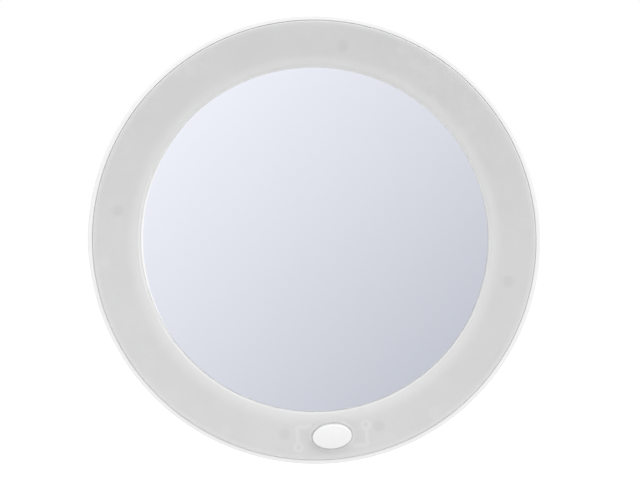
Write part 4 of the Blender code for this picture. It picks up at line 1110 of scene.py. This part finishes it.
def build_cell(number, cell, finishes):
    """A cell lying along y: steel ends, a dark jacket shrunk over its edges, a pale band near the tip."""
    upward = -1 if number == 2 else 1
    length = cell.top - cell.foot
    shoulder = length - CELL_TIP_HEIGHT
    lip = CELL_RADIUS - CELL_EDGE
    step_in = CELL_EDGE / 4
    profile = [(0, step_in), (lip - CELL_JACKET_LIP, step_in), (lip - CELL_JACKET_LIP, 0)]
    profile += round_off((lip, CELL_EDGE), CELL_EDGE, -90, 0)
    profile += [(CELL_RADIUS, shoulder - CELL_BAND)]
    profile += round_off((lip, shoulder - CELL_EDGE), CELL_EDGE, 0, 90)
    profile += [(lip - CELL_JACKET_LIP, shoulder), (lip - CELL_JACKET_LIP, shoulder - step_in)]
    profile += [(CELL_TIP_RADIUS, shoulder - step_in)]
    tip = (CELL_TIP_RADIUS - CELL_TIP_EDGE, length - CELL_TIP_EDGE)
    profile += round_off(tip, CELL_TIP_EDGE, 0, 90)
    form = add_turned(bmesh.new(), [*profile, (0, length)], 2 * SMALL_STEPS)
    for face in form.faces:
        middle = face.calc_center_median()
        jacket = math.hypot(middle.x, middle.y) > lip - CELL_JACKET_LIP + step_in
        face.material_index = (2 if middle.z > shoulder - CELL_BAND else 1) if jacket else 0
    turn = Matrix.Rotation(-upward * math.pi / 2, 4, "X")
    start = (cell.x, cell.foot if upward > 0 else cell.top, (cell.front + cell.back) / 2)
    bmesh.ops.transform(form, matrix=Matrix.Translation(start) @ turn, verts=form.verts)
    piece = make_piece(f"cell_{number}", form, finishes[0])
    for finish in finishes[1:]:
        piece.data.materials.append(finish)
    place_piece(piece, [f"battery_{number}"])


def build_spring(number, finish):
    """Tapered coil from its contact plate to the flat end of its cell, closed flat at both ends."""
    node = f"battery_spring_{number}"
    coil = extent(node)
    inward = -1 if coil.y > 0 else 1
    plate_end, cell_end = (coil.top, coil.foot) if coil.y > 0 else (coil.foot, coil.top)
    wide = coil.half_width - SPRING_WIRE / 2
    near = plate_end + inward * SPRING_WIRE / 2
    far = cell_end - inward * SPRING_WIRE / 2
    depth = extent(f"battery_{number}").back + CELL_RADIUS
    count = SPRING_TURNS * SPRING_TURN_STEPS
    curve = bpy.data.curves.new(node, "CURVE")
    curve.dimensions = "3D"
    curve.bevel_depth = SPRING_WIRE / 2
    curve.bevel_resolution = SPRING_BEVEL
    curve.use_fill_caps = True
    spline = curve.splines.new("POLY")
    spline.points.add(count)
    for step, point in enumerate(spline.points):
        share = step / count
        angle = math.tau * step / SPRING_TURN_STEPS
        radius = wide + (SPRING_NARROW - wide) * share
        x = coil.x + radius * math.cos(angle)
        spot = (x, near + (far - near) * share, depth + radius * math.sin(angle))
        point.co = (*(UPRIGHT @ Vector(spot)), 1.0)
    curve.materials.append(finish)
    piece = show(bpy.data.objects.new(f"coil_spring_{number}", curve))
    place_piece(piece, [node])


def finish_node(node, finish):
    """Gives a CAD node that stays in view its finish."""
    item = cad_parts[node]
    if not item.material_slots:
        item.data.materials.append(finish)
    for slot in item.material_slots:
        slot.material = finish


def direction(azimuth, elevation):
    """Unit vector away from the mirror, by degrees to the right of its front and above it."""
    azimuth = math.radians(azimuth)
    elevation = math.radians(elevation)
    level = Vector((math.sin(azimuth), -math.cos(azimuth), 0)) * math.cos(elevation)
    return level + Vector((0, 0, math.sin(elevation)))


def add_camera():
    """The photo's view: from slightly right and above, rolled a little, framed by a small shift."""
    data = bpy.data.cameras.new("camera")
    data.lens = CAMERA_LENS
    data.sensor_width = CAMERA_SENSOR
    data.shift_x = OBJECT_LEFT_PX / FRAME_WIDTH
    data.shift_y = -OBJECT_RISE_PX / FRAME_WIDTH
    camera = bpy.data.objects.new("camera", data)
    back = direction(CAMERA_AZIMUTH, CAMERA_ELEVATION)
    camera.location = Vector((0, -RIM_FRONT, 0)) + back * CAMERA_DISTANCE
    aim = (-back).to_track_quat("-Z", "Y").to_matrix()
    camera.rotation_euler = (aim @ Matrix.Rotation(math.radians(-CAMERA_ROLL), 3, "Z")).to_euler()
    bpy.context.scene.camera = show(camera)
    return camera.location


def add_world():
    """Soft sky that is a little brighter above, and plain white behind and in reflections."""
    world = bpy.data.worlds.new("studio")
    world.use_nodes = True
    bpy.context.scene.world = world
    sky = Tree(world.node_tree)
    height = sky.part(sky.add("TexCoord")["Generated"], "Z")
    inputs = {0: height, 1: SKY_GRADIENT, 2: SKY_LEVEL}
    level = sky.add("Math", inputs, operation="MULTIPLY_ADD")[0]
    path = sky.add("LightPath")
    seen = sky.most([path[f"Is {kind} Ray"] for kind in ("Camera", "Glossy", "Transmission")])
    background = sky.tree.nodes["Background"].inputs
    sky.feed(background["Strength"], sky.add("Mix", {0: seen, 2: level, 3: 1.0})[0])
    sky.feed(background["Color"], (1.0, 1.0, 1.0))


def add_lamp():
    """A square soft lamp that faces the mirror and doesn't show in reflections."""
    data = bpy.data.lights.new("key_lamp", "AREA")
    data.size = KEY_SIZE
    data.energy = KEY_POWER
    lamp = show(bpy.data.objects.new("key_lamp", data))
    lamp.location = direction(KEY_AZIMUTH, KEY_ELEVATION) * KEY_DISTANCE
    lamp.rotation_euler = (-lamp.location).to_track_quat("-Z", "Y").to_euler()
    lamp.visible_camera = False
    lamp.visible_glossy = False


def stage_plane(name, size, place, tilt):
    half = size / 2
    mesh = bpy.data.meshes.new(name)
    corners = [(-half, -half, 0), (half, -half, 0), (half, half, 0), (-half, half, 0)]
    mesh.from_pydata(corners, [], [(0, 1, 2, 3)])
    plane = show(bpy.data.objects.new(name, mesh))
    plane.location = place
    plane.rotation_euler = (tilt, 0, 0)
    plane.visible_diffuse = False
    return plane


def add_floor():
    """Pale floor that reads as white where no shadow falls on it."""
    floor = stage_plane("floor", FLOOR_SIZE, (0, 0, FLOOR_LEVEL), 0.0)
    floor.visible_glossy = False
    floor.visible_shadow = False
    finish = Finish("pale_floor", 0.9, Emission_Color=(1.0, 1.0, 1.0))
    colour = finish.blend(finish.noise(0.04, 3.0), (0.80, 0.80, 0.80), (0.82, 0.82, 0.82))
    camera_ray = finish.add("LightPath")["Is Camera Ray"]
    glow = finish.calculate("MULTIPLY", camera_ray, FLOOR_GLOW)
    floor.data.materials.append(finish.output(Base_Color=colour, Emission_Strength=glow))


def add_card(camera_place):
    """Studio card behind the camera with a soft ramp, which only reflections see."""
    card = stage_plane("studio_card", CARD_SIZE, (0, CARD_PLACE, 0), math.pi / 2)
    card.visible_camera = False
    card.visible_transmission = False
    card.visible_shadow = False
    reach = (abs(CARD_PLACE) - glass.front) / (abs(camera_place.y) - glass.front)
    middle = (-camera_place.x * reach, 0.0, -camera_place.z * reach)
    heading = polar(1, CARD_HEADING)
    material = bpy.data.materials.new("card_ramp")
    material.use_nodes = True
    ramp = Tree(material.node_tree)
    nodes = ramp.tree.nodes
    nodes.remove(nodes["Principled BSDF"])
    offset = ramp.vector("SUBTRACT", ramp.add("NewGeometry")["Position"], middle)
    along = ramp.vector("DOT_PRODUCT", offset, (heading[0], 0.0, heading[1]), "Value")
    half = CARD_RAMP * (1 + reach)
    colour = ramp.blend(ramp.remap(along, -half, half), CARD_PALE, CARD_DARK)
    emission = ramp.add("Emission", {"Color": colour})[0]
    ramp.feed(nodes["Material Output"].inputs["Surface"], emission)
    card.data.materials.append(material)


def dress_object():
    white = moulded_plastic("moulded_white", (0.825, 0.825, 0.822), (0.845, 0.845, 0.842), (0.34, 0.46))
    pale = ((0.835, 0.835, 0.835), (0.850, 0.850, 0.850))
    gloss = moulded_plastic("gloss_white", *pale, (0.20, 0.28), 0.0009, 0.000004)
    black = moulded_plastic("black_moulding", (0.022, 0.022, 0.024), (0.032, 0.032, 0.034), (0.40, 0.52))
    soot = ((0.018, 0.018, 0.020), (0.030, 0.030, 0.032))
    ceramic = moulded_plastic("black_ceramic", *soot, (0.45, 0.60), 0.0002)
    red = moulded_plastic("red_sleeve", (0.44, 0.018, 0.016), (0.54, 0.030, 0.026), (0.36, 0.50))
    dark = moulded_plastic("black_sleeve", (0.018, 0.018, 0.020), (0.032, 0.032, 0.034), (0.36, 0.50))
    nickel = drawn_metal("nickel_plate", (0.66, 0.64, 0.59), (0.76, 0.73, 0.68), (0.20, 0.34), (1, 1, 12))
    tin = ((0.60, 0.61, 0.64), (0.70, 0.70, 0.70))
    zinc = drawn_metal("zinc_steel", *tin, (0.26, 0.42), (6, 1, 1), 0.0003)
    warm = ((0.62, 0.61, 0.59), (0.72, 0.71, 0.69))
    steel = drawn_metal("cell_steel", *warm, (0.22, 0.36), (1, 1, 1), 0.0004)
    jacket = printed_film("slate_film", (0.075, 0.090, 0.105), (0.095, 0.110, 0.125))
    band = printed_film("pale_film", (0.55, 0.57, 0.58), (0.62, 0.64, 0.65))
    rubber = clear_rubber()
    build_housing(white)
    build_door(white)
    build_ring(frosted_ring())
    build_glass(silvered_mirror(), ground_glass_edge())
    build_button(gloss)
    build_arm("button_arm_left", -1, gloss)
    build_arm("button_arm_right", 1, gloss)
    for number, screw in enumerate(screws, 1):
        build_screw(number, screw, zinc)
    for number, cup in enumerate(cups, 1):
        build_cup(number, cup, rubber)
    for number, cell in enumerate(cells, 1):
        build_cell(number, cell, (steel, jacket, band))
        build_spring(number, nickel)
    lamp = lamp_package()
    finishes = {"mirror_pad": foam(), "led_ring_board": solder_mask()}
    for number in range(1, 7):
        finishes |= {f"led_{number}": lamp, f"resistor_{number}": ceramic}
    finishes |= {"switch_body": black, "switch_plunger": black, "wire_negative": dark, "wire_positive": red}
    contacts = ("contact_negative", "contact_positive", "contact_link_lower", "contact_link_upper")
    finishes |= dict.fromkeys(contacts, nickel)
    for node, finish in finishes.items():
        finish_node(node, finish)


bpy.context.scene.view_settings.view_transform = "Standard"
camera_place = add_camera()
add_world()
add_lamp()
add_floor()
add_card(camera_place)
dress_object()
